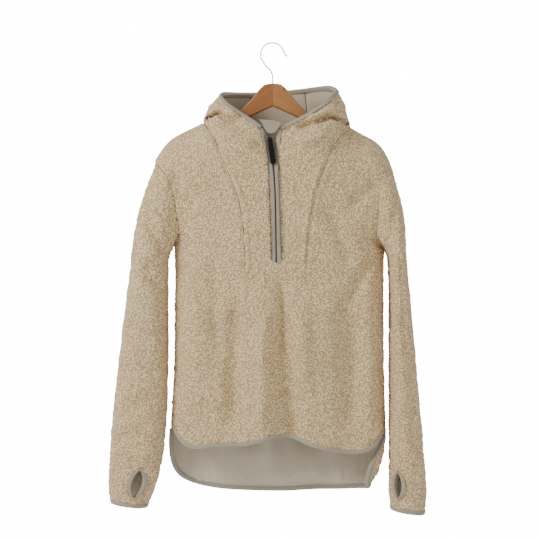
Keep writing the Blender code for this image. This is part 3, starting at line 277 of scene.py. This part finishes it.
def curl_group():
    """Sherpa curls: colour, with painted shade in the hollows between them, and height."""
    group, start, end = make_group(
        "sherpa_curl",
        (("Top", "NodeSocketColor", (1, 1, 1, 1)), ("Deep", "NodeSocketColor", (0, 0, 0, 1)),
         ("Size", "NodeSocketFloat", 0.006)),
        (("Color", "NodeSocketColor"), ("Height", "NodeSocketFloat")))
    link = group.links.new
    place = group.nodes.new("ShaderNodeTexCoord")
    inverse = node(group, "ShaderNodeMath", operation="DIVIDE")
    inverse.inputs[0].default_value = 1.0
    link(start.outputs["Size"], inverse.inputs[1])
    warp = node(group, "ShaderNodeTexNoise", Scale=220.0, Detail=2.0)
    link(place.outputs["Object"], warp.inputs["Vector"])
    shift = node(group, "ShaderNodeVectorMath", operation="MULTIPLY_ADD")
    shift.inputs[1].default_value = (0.002, 0.002, 0.002)
    link(warp.outputs["Color"], shift.inputs[0])
    link(place.outputs["Object"], shift.inputs[2])
    cells = node(group, "ShaderNodeTexVoronoi", feature="SMOOTH_F1", Smoothness=0.35)
    link(shift.outputs[0], cells.inputs["Vector"])
    link(inverse.outputs[0], cells.inputs["Scale"])
    fine = node(group, "ShaderNodeTexNoise", Scale=900.0, Detail=3.0, Roughness=0.7)
    link(place.outputs["Object"], fine.inputs["Vector"])
    broad = node(group, "ShaderNodeTexNoise", Scale=24.0, Detail=3.0)
    link(place.outputs["Object"], broad.inputs["Vector"])
    dome = node(group, "ShaderNodeMapRange", interpolation_type="SMOOTHSTEP")
    dome.inputs["From Min"].default_value = 0.80
    dome.inputs["From Max"].default_value = 0.15
    link(cells.outputs["Distance"], dome.inputs["Value"])
    height = node(group, "ShaderNodeMath", operation="MULTIPLY_ADD")
    height.inputs[1].default_value = 0.35
    link(fine.outputs["Fac"], height.inputs[0])
    link(dome.outputs["Result"], height.inputs[2])
    link(height.outputs[0], end.inputs["Height"])
    tone = node(group, "ShaderNodeMath", operation="MULTIPLY_ADD")
    tone.inputs[1].default_value = 0.30
    link(broad.outputs["Fac"], tone.inputs[0])
    link(height.outputs[0], tone.inputs[2])
    level = node(group, "ShaderNodeMapRange")
    level.inputs["From Min"].default_value = 0.40
    level.inputs["From Max"].default_value = 1.25
    link(tone.outputs[0], level.inputs["Value"])
    # Low parts of the curls take the darker colour: painted shade between the curls; the broad noise
    # adds tone that differs at random
    mix = node(group, "ShaderNodeMix", data_type="RGBA")
    link(level.outputs["Result"], mix.inputs[0])
    link(start.outputs["Deep"], mix.inputs[6])
    link(start.outputs["Top"], mix.inputs[7])
    link(mix.outputs[2], end.inputs["Color"])
    return group


def weave_group():
    """Fine woven cloth: colour and height."""
    group, start, end = make_group(
        "weave",
        (("Base", "NodeSocketColor", (1, 1, 1, 1)), ("Scale", "NodeSocketFloat", 900.0),
         ("Contrast", "NodeSocketFloat", 0.2)),
        (("Color", "NodeSocketColor"), ("Height", "NodeSocketFloat")))
    link = group.links.new
    place = group.nodes.new("ShaderNodeTexCoord")
    ribs = node(group, "ShaderNodeTexWave", wave_type="BANDS", bands_direction="DIAGONAL",
                Distortion=2.0, Detail=1.0)
    link(place.outputs["Object"], ribs.inputs["Vector"])
    link(start.outputs["Scale"], ribs.inputs["Scale"])
    cloud = node(group, "ShaderNodeTexNoise", Scale=60.0, Detail=4.0)
    link(place.outputs["Object"], cloud.inputs["Vector"])
    both = node(group, "ShaderNodeMath", operation="ADD")
    link(ribs.outputs["Fac"], both.inputs[0])
    link(cloud.outputs["Fac"], both.inputs[1])
    link(ribs.outputs["Fac"], end.inputs["Height"])
    shade = node(group, "ShaderNodeMapRange")
    shade.inputs["From Min"].default_value = 0.2
    shade.inputs["From Max"].default_value = 1.6
    shade.inputs["To Max"].default_value = 1.0
    link(both.outputs[0], shade.inputs["Value"])
    less = node(group, "ShaderNodeMath", operation="SUBTRACT")
    less.inputs[0].default_value = 1.0
    link(start.outputs["Contrast"], less.inputs[1])
    link(less.outputs[0], shade.inputs["To Min"])
    tint = node(group, "ShaderNodeVectorMath", operation="SCALE")
    link(start.outputs["Base"], tint.inputs[0])
    link(shade.outputs["Result"], tint.inputs["Scale"])
    link(tint.outputs[0], end.inputs["Color"])
    return group


def grain_group():
    """Long wood grain along the hanger's arms: colour and roughness."""
    group, start, end = make_group(
        "wood_grain",
        (("Base", "NodeSocketColor", (1, 1, 1, 1)), ("Lean", "NodeSocketFloat", 0.6)),
        (("Color", "NodeSocketColor"), ("Roughness", "NodeSocketFloat")))
    link = group.links.new
    place = group.nodes.new("ShaderNodeTexCoord")
    turn = node(group, "ShaderNodeVectorRotate", rotation_type="Y_AXIS")
    link(place.outputs["Object"], turn.inputs["Vector"])
    link(start.outputs["Lean"], turn.inputs["Angle"])
    long = node(group, "ShaderNodeVectorMath", operation="MULTIPLY")
    long.inputs[1].default_value = (9.0, 60.0, 150.0)
    link(turn.outputs[0], long.inputs[0])
    streaks = node(group, "ShaderNodeTexNoise", Scale=1.6, Detail=6.0, Roughness=0.62,
                   Distortion=0.6)
    link(long.outputs[0], streaks.inputs["Vector"])
    fine = node(group, "ShaderNodeTexNoise", Scale=7.0, Detail=3.0)
    link(long.outputs[0], fine.inputs["Vector"])
    both = node(group, "ShaderNodeMath", operation="MULTIPLY_ADD")
    both.inputs[1].default_value = 0.35
    link(fine.outputs["Fac"], both.inputs[0])
    link(streaks.outputs["Fac"], both.inputs[2])
    knot_gap = node(group, "ShaderNodeVectorMath", operation="DISTANCE")
    knot_gap.inputs[1].default_value = (0.0235, -0.0065, -0.0925)
    link(place.outputs["Object"], knot_gap.inputs[0])
    knot = node(group, "ShaderNodeMapRange", interpolation_type="SMOOTHSTEP")
    knot.inputs["From Min"].default_value = 0.0022
    knot.inputs["From Max"].default_value = 0.0052
    knot.inputs["To Min"].default_value = 0.45
    knot.inputs["To Max"].default_value = 0.0
    link(knot_gap.outputs["Value"], knot.inputs["Value"])
    tone = node(group, "ShaderNodeMath", operation="SUBTRACT")
    link(both.outputs[0], tone.inputs[0])
    link(knot.outputs["Result"], tone.inputs[1])
    shade = node(group, "ShaderNodeMapRange")
    shade.inputs["From Min"].default_value = 0.35
    shade.inputs["From Max"].default_value = 0.95
    shade.inputs["To Min"].default_value = 0.62
    shade.inputs["To Max"].default_value = 1.25
    link(tone.outputs[0], shade.inputs["Value"])
    tint = node(group, "ShaderNodeVectorMath", operation="SCALE")
    link(start.outputs["Base"], tint.inputs[0])
    link(shade.outputs["Result"], tint.inputs["Scale"])
    link(tint.outputs[0], end.inputs["Color"])
    rough = node(group, "ShaderNodeMapRange")
    rough.inputs["To Min"].default_value = 0.50
    rough.inputs["To Max"].default_value = 0.34
    link(streaks.outputs["Fac"], rough.inputs["Value"])
    link(rough.outputs["Result"], end.inputs["Roughness"])
    return group


def group_once(name):
    """Shader group by name, built the first time."""
    builders = {"sherpa_curl": curl_group, "weave": weave_group, "wood_grain": grain_group}
    return bpy.data.node_groups.get(name) or builders[name]()


# ------------------------------------------------------------------ materials

def plain_material(name, colour, roughness, metallic=0.0):
    """Principled material in one colour, built once."""
    material = bpy.data.materials.get("look_" + name)
    if material is None:
        material = bpy.data.materials.new("look_" + name)
        material.use_nodes = True
        shader = material.node_tree.nodes["Principled BSDF"]
        shader.inputs["Base Color"].default_value = (*colour, 1.0)
        shader.inputs["Roughness"].default_value = roughness
        shader.inputs["Metallic"].default_value = metallic
    return material


def grouped_material(name, group, values, roughness, bump=0.0, distance=0.001, sheen=0.0):
    """Material whose colour and bump come from a shader group, built once."""
    material = bpy.data.materials.get("look_" + name)
    if material is not None:
        return material
    material = plain_material(name, (1.0, 1.0, 1.0), roughness)
    tree = material.node_tree
    shader = tree.nodes["Principled BSDF"]
    source = tree.nodes.new("ShaderNodeGroup")
    source.node_tree = group_once(group)
    for label, value in values.items():
        source.inputs[label].default_value = value
    tree.links.new(source.outputs["Color"], shader.inputs["Base Color"])
    if "Roughness" in source.outputs:
        tree.links.new(source.outputs["Roughness"], shader.inputs["Roughness"])
    if bump:
        relief = tree.nodes.new("ShaderNodeBump")
        relief.inputs["Strength"].default_value = bump
        relief.inputs["Distance"].default_value = distance
        tree.links.new(source.outputs["Height"], relief.inputs["Height"])
        tree.links.new(relief.outputs["Normal"], shader.inputs["Normal"])
    shader.inputs["Sheen Weight"].default_value = sheen
    shader.inputs["Sheen Roughness"].default_value = 0.5
    return material


def cloth_materials(settings):
    """Materials of each kind of cloth: outer side, then inner side."""
    sherpa = grouped_material(
        "sherpa", "sherpa_curl",
        {"Top": (*settings.sherpa, 1.0), "Deep": (*settings.sherpa_painted_shade, 1.0),
         "Size": settings.curl}, 0.95, 0.9, 0.0022, 0.15)
    backing = grouped_material(
        "sherpa_backing", "weave",
        {"Base": (*settings.lining, 1.0), "Scale": 700.0, "Contrast": 0.15}, 0.85, 0.2, 0.0004)
    lining = grouped_material(
        "lining", "weave",
        {"Base": (*settings.lining, 1.0), "Scale": 1500.0, "Contrast": 0.10}, 0.55, 0.1, 0.0002,
        0.2)
    binding = grouped_material(
        "binding", "weave",
        {"Base": (*settings.binding, 1.0), "Scale": 420.0, "Contrast": 0.26}, 0.72, 0.3, 0.0005,
        0.1)
    # Zip tape: its own dark colour, made darker still as painted shade of the narrow gap between the
    # strips
    tape = plain_material("zip_tape", (0.050, 0.040, 0.032), 0.85)
    return {"sherpa": (sherpa, backing), "lining": (lining, lining),
            "binding": (binding, binding), "tape": (tape, tape)}


# ------------------------------------------------------------------ cloth form

def along_line(points, start, end):
    """Share of the way along a straight line, and the distance from it, for x and z points."""
    start, end = np.array(start), np.array(end)
    way = end - start
    share = np.clip(((points - start) @ way) / (way @ way), -0.12, 1.12)
    nearest = start + share[:, None] * way
    return share, np.linalg.norm(points - nearest, axis=1)


def crease_depth(points):
    """Inward move of each point, from the table of creases."""
    flat = points[:, (0, 2)]
    total = np.zeros(len(points))
    facing = np.clip(points[:, 1] / 0.012, -1.0, 1.0)
    for side, start, end, width, depth in CREASES:
        share, distance = along_line(flat, start, end)
        taper = np.clip(np.minimum(share + 0.12, 1.12 - share) / 0.30, 0.0, 1.0)
        taper = taper * taper * (3 - 2 * taper)
        shown = np.clip(0.5 + 0.5 * side * facing, 0.0, 1.0) if side else 1.0
        total += CREASE_SCALE * depth * taper * shown * np.exp(-(distance / width) ** 2)
    return total


def seam_depth(points):
    """Inward move of the trough and ridges along both princess seams."""
    flat = points[:, (0, 2)]
    nearest = np.full(len(points), 1.0)
    for line in (PRINCESS_LEFT, PRINCESS_RIGHT):
        for start, end in zip(line[:-1], line[1:]):
            nearest = np.minimum(nearest, along_line(flat, start, end)[1])
    front = np.clip(-points[:, 1] / 0.01, 0.0, 1.0)
    trough = TROUGH["depth"] * np.exp(-(nearest / TROUGH["width"]) ** 2)
    ridge = RIDGE["depth"] * np.exp(-((nearest - RIDGE["away"]) / RIDGE["width"]) ** 2)
    return front * (trough - ridge)


def shoulder_shift(points, is_sleeve):
    """Move that brings the body's and the sleeve's cloth level at the top of each armhole."""
    total = np.zeros(points.shape)
    for side, x, z, body, sleeve in SHOULDERS:
        away = (points[:, 0] - x) ** 2 + (points[:, 2] - z) ** 2 + (points[:, 1] * 0.4) ** 2
        near = np.exp(-away / SHOULDER_REACH ** 2)
        push = sleeve if is_sleeve else body
        total += near[:, None] * np.array((side * push, 0.0, push * 0.8))
    return total


def wave_noise(points, size, seed):
    """Smooth noise from sums of waves, about -1 to 1."""
    rng = np.random.default_rng(seed)
    total = np.zeros(len(points))
    for _ in range(14):
        way = rng.normal(size=3)
        way /= np.linalg.norm(way)
        rate = 2 * math.pi / (size * rng.uniform(0.8, 1.9))
        total += np.sin(points @ way * rate + rng.uniform(0, 2 * math.pi))
    return total / 4.0


def cell_noise(points, size, seed):
    """Smooth noise with one value for each cell of a lattice, about -1 to 1."""
    place = points / size
    low = np.floor(place).astype(np.int64)
    share = place - low
    share = share * share * (3 - 2 * share)
    total = np.zeros(len(points))
    for step in range(8):
        corner = np.array((step & 1, step >> 1 & 1, step >> 2 & 1))
        spot = low + corner
        mixed = (spot @ np.array((73856093, 19349663, 83492791)) + seed * 2654435761) & 0xFFFFFFFF
        mixed = (mixed ^ (mixed >> 15)) * 2246822519 & 0xFFFFFFFF
        mixed = (mixed ^ (mixed >> 13)) * 3266489917 & 0xFFFFFFFF
        value = (mixed ^ (mixed >> 16)) / 0xFFFFFFFF * 2 - 1
        weight = np.prod(np.where(corner == 1, share, 1 - share), axis=1)
        total += value * weight
    return total


def groups_of_faces(shape):
    """Sheets of faces that meet without a sharp edge, the largest area first."""
    shape.faces.ensure_lookup_table()
    group = [-1] * len(shape.faces)
    sizes = []
    for first in shape.faces:
        if group[first.index] >= 0:
            continue
        number = len(sizes)
        area = 0.0
        heap = [first]
        group[first.index] = number
        while heap:
            face = heap.pop()
            area += face.calc_area()
            for edge in face.edges:
                if len(edge.link_faces) != 2 or edge.calc_face_angle(0.0) > SIDE_ANGLE:
                    continue
                for other in edge.link_faces:
                    if group[other.index] < 0:
                        group[other.index] = number
                        heap.append(other)
        sizes.append(area)
    order = sorted(range(len(sizes)), key=lambda n: -sizes[n])
    rank = {number: place for place, number in enumerate(order)}
    return [rank[number] for number in group]


def refined(name, kind, levels, materials):
    """Cloth mesh object from a CAD node: quads, soft subdivision, sides told apart."""
    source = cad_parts[name]
    shape = bmesh.new()
    shape.from_mesh(source.data)
    shape.transform(source.matrix_world)
    bmesh.ops.remove_doubles(shape, verts=shape.verts, dist=2e-5)
    bmesh.ops.recalc_face_normals(shape, faces=shape.faces)
    sides = groups_of_faces(shape)
    for face, side in zip(shape.faces, sides):
        face.material_index = 0 if side == 0 else 1
    if kind == "sherpa":
        rims = {}
        for face, side in zip(shape.faces, sides):
            if side > 1:
                for vertex in face.verts:
                    rims.setdefault(vertex.index, []).append(face.normal.copy())
        shape.verts.ensure_lookup_table()
        for index, normals in rims.items():
            total = sum(normals, Vector())
            if total.length > 0.1:
                shape.verts[index].co += total.normalized() * RIM_REACH
    crease = shape.edges.layers.float.new("crease_edge")
    for edge in shape.edges:
        if len(edge.link_faces) == 2 and edge.calc_face_angle(0.0) > SIDE_ANGLE:
            edge[crease] = RIM_CREASE.get(kind, RIM_CREASE["other"])
    bmesh.ops.join_triangles(shape, faces=shape.faces, cmp_materials=True,
                             angle_face_threshold=math.radians(44),
                             angle_shape_threshold=math.radians(70))
    mesh = bpy.data.meshes.new(name + "_cloth")
    shape.to_mesh(mesh)
    shape.free()
    item = bpy.data.objects.new(name + "_cloth", mesh)
    bpy.context.scene.collection.objects.link(item)
    soften = item.modifiers.new("soften", "SUBSURF")
    soften.levels = soften.render_levels = levels
    bpy.context.view_layer.update()
    graph = bpy.context.evaluated_depsgraph_get()
    smooth = bpy.data.meshes.new_from_object(item.evaluated_get(graph))
    item.modifiers.clear()
    item.data = smooth
    index = np.empty(len(smooth.polygons), np.int32)
    smooth.polygons.foreach_get("material_index", index)
    smooth.materials.clear()
    for material in materials[kind]:
        smooth.materials.append(material)
    smooth.polygons.foreach_set("material_index", index)
    return item


def outer_weight(mesh):
    """1 at points of the outer side only, 0 elsewhere."""
    count = len(mesh.vertices)
    corners = np.empty(len(mesh.loops), int)
    mesh.loops.foreach_get("vertex_index", corners)
    starts = np.empty(len(mesh.polygons), int)
    totals = np.empty(len(mesh.polygons), int)
    index = np.empty(len(mesh.polygons), int)
    mesh.polygons.foreach_get("loop_start", starts)
    mesh.polygons.foreach_get("loop_total", totals)
    mesh.polygons.foreach_get("material_index", index)
    each = np.repeat(index, totals)
    inner = np.bincount(corners[each > 0], minlength=count)
    outer = np.bincount(corners[each == 0], minlength=count)
    return np.where((outer > 0) & (inner == 0), 1.0, np.where(outer > 0, 0.35, 0.0))


def tail_gathers(points):
    """Forward move of each point of the back lining, in the gathers just over its binding."""
    x, z = points[:, 0], points[:, 2]
    low = np.clip((GATHER["low"] - z + GATHER["height"]) / GATHER["height"], 0.0, 1.0)
    wave = np.sin(x / GATHER["pitch"] * 2 * math.pi
                  + GATHER["wander"] * wave_noise(points, 0.05, 7))
    low *= np.clip((z - TAIL_LINE) / GATHER["fade"], 0.0, 1.0)
    low *= np.clip((GATHER["reach"] - np.abs(x)) / GATHER["side_fade"], 0.0, 1.0)
    return GATHER["depth"] * (1.0 + wave) * low * (z < GATHER["high"])


def tail_billows(points):
    """Forward move of each point of the back lining, in the soft folds over the gathers."""
    x, z = points[:, 0], points[:, 2]
    soft = np.clip((BILLOW["high"] - z) / BILLOW["rise"], 0.0, 1.0)
    soft *= np.clip((z - TAIL_LINE) / BILLOW["fade"], 0.0, 1.0)
    soft *= np.clip((BILLOW["reach"] - np.abs(x)) / BILLOW["side_fade"], 0.0, 1.0)
    billow = 1.0 + wave_noise(points * np.array(BILLOW["stretch"]), BILLOW["size"], 21)
    return BILLOW["depth"] * soft * np.clip(billow, 0.0, BILLOW["most"])


def shape_cloth(item, kind, settings):
    """Creases, seams, gathers and sherpa curls, by moves of the points."""
    mesh = item.data
    count = len(mesh.vertices)
    points = np.empty(count * 3)
    normals = np.empty(count * 3)
    mesh.vertices.foreach_get("co", points)
    mesh.vertex_normals.foreach_get("vector", normals)
    points, normals = points.reshape(-1, 3), normals.reshape(-1, 3)
    is_outer = outer_weight(mesh)
    toward = np.where(points[:, 1] < 0.0, 1.0, -1.0) * np.clip(np.abs(points[:, 1]) / 0.02, 0, 1)
    depth = crease_depth(points)
    depth += WAVE["depth"] * wave_noise(points, WAVE["size"], WAVE["seed"])
    moved = points.copy()
    moved[:, 1] += depth * toward
    if kind == "sherpa":
        moved[:, 1] += seam_depth(points) * toward * is_outer
        moved += shoulder_shift(points, item.name.startswith("sleeve"))
        curls = cell_noise(points, settings.curl * CURL_STRETCH, 11)
        curls += CLUMP["share"] * cell_noise(points, CLUMP["size"], 12)
        moved += normals * (is_outer * settings.pile * curls)[:, None]
    if item.name.startswith("hood_lining"):
        moved[:, 1] += HOOD_LINING_IN * toward
    if item.name.startswith("back_lining"):
        moved[:, 1] -= tail_gathers(points)
        moved[:, 1] -= tail_billows(points)
    mesh.vertices.foreach_set("co", moved.ravel())
    mesh.update()
    mesh.shade_smooth()


def cloth_piece(row, materials, settings):
    """One cloth piece: its smoothed and shaped mesh, attached to the garment, with the CAD part
    hidden.
    """
    name, kind, levels, width, length, area = row
    item = refined(name, kind, levels, materials)
    shape_cloth(item, kind, settings)
    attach(item, "garment")
    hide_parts(name)
    return item


# ------------------------------------------------------------------ trims

def tree_of(names):
    """Surface of several objects, to find depths on."""
    points, faces = [], []
    for name in names:
        item = bpy.data.objects[name]
        base = len(points)
        points += [vertex.co.copy() for vertex in item.data.vertices]
        faces += [[base + n for n in face.vertices] for face in item.data.polygons]
    return BVHTree.FromPolygons(points, faces)


def walk(points, pitch):
    """Places and directions at a pitch along a line of x and z points."""
    points = np.asarray(points, float)
    steps = np.linalg.norm(np.diff(points, axis=0), axis=1)
    reach = np.concatenate(([0.0], np.cumsum(steps)))
    for place in np.arange(pitch / 2, reach[-1], pitch):
        k = min(int(np.searchsorted(reach, place)) - 1, len(steps) - 1)
        way = (points[k + 1] - points[k]) / steps[k]
        yield points[k] + way * (place - reach[k]), way


def add_object(name, points, faces, material):
    """Object of one mesh in one material, linked to the scene."""
    mesh = bpy.data.meshes.new(name)
    mesh.from_pydata([tuple(point) for point in points], [], faces)
    mesh.materials.append(material)
    item = bpy.data.objects.new(name, mesh)
    bpy.context.scene.collection.objects.link(item)
    return item


def add_box(points, faces, middle, along, across, lifts):
    """Adds a box to lists of points and faces, from its half sides and its two lifts."""
    base = len(points)
    points += [middle + along * a + across * b + lift for lift in lifts for a, b in RING]
    faces += [[base + n for n in face] for face in BOX_FACES]


def dashes(name, lines, surface, bar, pitch, material):
    """Small raised bars along lines on a surface's front, one mesh."""
    points, faces = [], []
    way_in = Vector((0, 1, 0))
    for line in lines:
        for (x, z), (dx, dz) in walk(line, pitch):
            hit, normal, _, _ = surface.ray_cast(Vector((x, -1.0, z)), way_in)
            if hit is None:
                continue
            if normal.dot(way_in) > 0:
                normal = -normal
            along = Vector((dx, 0, dz))
            along = (along - normal * along.dot(normal)).normalized()
            across = normal.cross(along).normalized()
            add_box(points, faces, hit, along * bar["length"] / 2, across * bar["width"] / 2,
                    (normal * bar["height"] * -0.3, normal * bar["height"]))
    item = add_object(name, points, faces, material)
    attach(item, "garment")
    return item


def shifted(line, amount):
    """Line moved sideways in x."""
    return [(x + amount, z) for x, z in line]


def zip_line(top, foot, count):
    """Points in x and z down the middle of the zip."""
    rows = sorted(ZIP_CENTRE, key=lambda row: row[1])
    heights = np.linspace(top, foot, count)
    return list(zip(np.interp(heights, [row[1] for row in rows], [row[0] for row in rows]), heights))


class PULLOVER_OT_cloth(bpy.types.Operator):
    """Builds the cloth panels, linings and bindings"""

    bl_idname = "pullover.cloth"
    bl_label = "Cloth"

    def execute(self, context):
        settings = context.scene.pullover_cloth
        materials = cloth_materials(settings)
        for row in PANELS:
            cloth_piece(row, materials, settings)
        return {"FINISHED"}


class PULLOVER_OT_stitches(bpy.types.Operator):
    """Sews a row of stitches along each zip strip"""

    bl_idname = "pullover.stitches"
    bl_label = "Stitches"

    def execute(self, context):
        settings = context.scene.pullover_cloth
        # The stitches are near black: thread colour plus painted shade of the dark line beside the
        # zip strips
        thread = plain_material("thread", settings.thread, 0.8)
        surface = tree_of(["zip_strip_left_cloth", "zip_strip_right_cloth",
                           "hood_bib_left_cloth", "hood_bib_right_cloth"])
        middle = zip_line(STITCHES["top"], STITCHES["foot"], 24)
        lines = [shifted(middle, -STITCH_LINE), shifted(middle, STITCH_LINE)]
        dashes("zip_stitches", lines, surface, STITCHES, STITCHES["pitch"], thread)
        return {"FINISHED"}


class PULLOVER_OT_zip(bpy.types.Operator):
    """Builds the zip's teeth, its garage and the ribs on the pull tab"""

    bl_idname = "pullover.zip"
    bl_label = "Zip"

    def execute(self, context):
        hard = context.scene.pullover_hard
        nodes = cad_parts
        metal = plain_material("dark_metal", (0.060, 0.055, 0.050), 0.42, 1.0)
        black = plain_material("tab_rubber", hard.tab, 0.48)
        black.node_tree.nodes["Principled BSDF"].inputs["Specular IOR Level"].default_value = 0.2
        # Teeth: the zip's own dark colour plus painted shade of the narrow gap they sit in
        coil = plain_material("zip_coil", (0.034, 0.026, 0.020), 0.5)
        for name in ("zip_slider", "slider_bridge"):
            nodes[name].data.materials.clear()
            nodes[name].data.materials.append(metal)
        nodes["pull_tab"].data.materials.clear()
        nodes["pull_tab"].data.materials.append(black)
        surface = tree_of(["zip_tape_left_cloth", "zip_tape_right_cloth"])
        middle = zip_line(TEETH["top"], TEETH["foot"], 40)
        rows = [shifted(middle, -TEETH["away"]), shifted(middle, TEETH["away"])]
        teeth = dashes("zip_teeth", rows, surface, TEETH, hard.tooth_pitch, coil)
        self.garage(cloth_materials(context.scene.pullover_cloth)["binding"][0])
        self.ribs(black)
        return {"FINISHED"}

    def garage(self, material):
        """Rounded cloth flap over the zip's upper end."""
        points = []
        for thick in (0.0, GARAGE_THICK):
            for x, z in GARAGE:
                lean = np.clip((z + 0.1873) / 0.027, 0.0, 1.0)
                points.append((x, GARAGE_FRONT - GARAGE_LEAN * lean + thick, z))
        count = len(GARAGE)
        faces = [list(range(count))[::-1], list(range(count, 2 * count))]
        faces += [[n, (n + 1) % count, (n + 1) % count + count, n + count] for n in range(count)]
        item = add_object("zip_garage_cloth", points, faces, material)
        rounding = item.modifiers.new("rounding", "BEVEL")
        rounding.width = 0.0004
        rounding.segments = 2
        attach(item, "garment")
        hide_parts("zip_garage")

    def ribs(self, material):
        """Plain raised ribs across the pull tab."""
        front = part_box("pull_tab")[0][1]
        down = Vector((math.sin(TAB_TURN), 0.0, -math.cos(TAB_TURN)))
        across = Vector((math.cos(TAB_TURN), 0.0, math.sin(TAB_TURN)))
        out = Vector((0.0, front - TAB_HINGE.y, 0.0))
        lifts = [Vector((0.0, lift, 0.0)) for lift in RIBS["lifts"]]
        points, faces = [], []
        for n in range(RIBS["count"]):
            middle = TAB_HINGE + down * (RIBS["first"] + n * RIBS["pitch"]) + out
            add_box(points, faces, middle, across * RIBS["half_length"],
                    down * RIBS["half_width"], lifts)
        item = add_object("tab_ribs", points, faces, material)
        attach(item, "tab")


class PULLOVER_OT_hanger(bpy.types.Operator):
    """Gives the hanger and its hook their materials, and closes the joint between its halves"""

    bl_idname = "pullover.hanger"
    bl_label = "Hanger"

    def execute(self, context):
        hard = context.scene.pullover_hard
        # The left half takes the darker copy of the wood colour: painted shade, not a different wood
        for name, colour, side in (("hanger_left", hard.wood_in_painted_shade, -1),
                                   ("hanger_right", hard.wood, 1)):
            wood = grouped_material(name + "_wood", "wood_grain",
                                    {"Base": (*colour, 1.0), "Lean": -side * GRAIN_LEAN}, 0.4)
            wood.node_tree.nodes["Principled BSDF"].inputs["Coat Weight"].default_value = 0.35
            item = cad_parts[name]
            item.data.materials.clear()
            item.data.materials.append(wood)
            deep = JOINT_HALF_DEPTH[name]
            points = [(x, y, z) for x in sorted((-side * JOINT_PAST, side * JOINT_INTO))
                      for y in (-deep, deep) for z in JOINT_HEIGHTS]
            faces = [(0, 1, 3, 2), (4, 6, 7, 5), (0, 4, 5, 1), (2, 3, 7, 6), (0, 2, 6, 4),
                     (1, 5, 7, 3)]
            joint = add_object(name + "_joint", points, faces, wood)
            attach(joint, "garment")
        steel = plain_material("steel", (0.42, 0.42, 0.42), 0.32, 1.0)
        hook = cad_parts["hanger_hook"]
        hook.data.materials.clear()
        hook.data.materials.append(steel)
        return {"FINISHED"}


class PULLOVER_OT_stage(bpy.types.Operator):
    """Builds the pale floor, the lights and the camera"""

    bl_idname = "pullover.stage"
    bl_label = "Stage"

    def execute(self, context):
        values = context.scene.pullover_stage
        half, height = FLOOR["half_width"], FLOOR["height"]
        corners = [(-half, FLOOR["near"], height), (half, FLOOR["near"], height),
                   (half, FLOOR["far"], height), (-half, FLOOR["far"], height)]
        floor = add_object("floor", corners, [(0, 1, 2, 3)],
                           plain_material("floor", (0.93, 0.93, 0.93), 0.9))
        world = bpy.data.worlds.new("white")
        world.use_nodes = True
        sky = world.node_tree.nodes["Background"]
        sky.inputs["Color"].default_value = (1.0, 1.0, 1.0, 1.0)
        sky.inputs["Strength"].default_value = values.sky
        bright = node(world.node_tree, "ShaderNodeBackground", Color=(1.0, 1.0, 1.0, 1.0),
                      Strength=values.backdrop)
        path = node(world.node_tree, "ShaderNodeLightPath")
        choose = node(world.node_tree, "ShaderNodeMixShader")
        link = world.node_tree.links.new
        link(path.outputs["Is Camera Ray"], choose.inputs[0])
        link(sky.outputs[0], choose.inputs[1])
        link(bright.outputs[0], choose.inputs[2])
        link(choose.outputs[0], world.node_tree.nodes["World Output"].inputs["Surface"])
        context.scene.world = world
        for name, place, size in LAMPS:
            lamp = bpy.data.lights.new(name, "AREA")
            lamp.energy = getattr(values, name)
            lamp.size = size
            item = bpy.data.objects.new(name, lamp)
            item.location = place
            item.rotation_euler = (LAMP_AIM - Vector(place)).to_track_quat("-Z", "Y").to_euler()
            context.scene.collection.objects.link(item)
        lens = bpy.data.cameras.new("camera")
        lens.lens = 85.0
        lens.sensor_width = 36.0
        camera = bpy.data.objects.new("camera", lens)
        camera.location = CAMERA_PLACE
        camera.rotation_euler = (math.radians(90.0), 0.0, 0.0)
        context.scene.collection.objects.link(camera)
        context.scene.camera = camera
        return {"FINISHED"}


class PULLOVER_PT_panel(bpy.types.Panel):
    """Lists the pullover's operators"""

    bl_label = "Pullover"
    bl_idname = "PULLOVER_PT_panel"
    bl_space_type = "VIEW_3D"
    bl_region_type = "UI"
    bl_category = "Pullover"

    def draw(self, context):
        for operator in OPERATORS:
            self.layout.operator(operator.bl_idname)
        for settings in (context.scene.pullover_cloth, context.scene.pullover_hard,
                         context.scene.pullover_stage):
            for name in settings.bl_rna.properties.keys():
                if name not in {"rna_type", "name"}:
                    self.layout.prop(settings, name)


OPERATORS = (PULLOVER_OT_cloth, PULLOVER_OT_stitches, PULLOVER_OT_zip, PULLOVER_OT_hanger,
             PULLOVER_OT_stage)
SETTINGS = (("pullover_cloth", ClothSettings), ("pullover_hard", HardSettings),
            ("pullover_stage", StageSettings))
CLASSES = tuple(kind for _, kind in SETTINGS) + OPERATORS + (PULLOVER_PT_panel,)


def register():
    """Register the classes and attach the settings to the scene."""
    for kind in CLASSES:
        bpy.utils.register_class(kind)
    for name, kind in SETTINGS:
        setattr(bpy.types.Scene, name, bpy.props.PointerProperty(type=kind))


def unregister():
    """Take the settings and the classes away."""
    for name, _ in SETTINGS:
        delattr(bpy.types.Scene, name)
    for kind in reversed(CLASSES):
        bpy.utils.unregister_class(kind)


def main():
    """Build everything."""
    register()
    for build in (bpy.ops.pullover.cloth, bpy.ops.pullover.stitches, bpy.ops.pullover.zip,
                  bpy.ops.pullover.hanger, bpy.ops.pullover.stage):
        build()


if __name__ == "__main__":
    main()
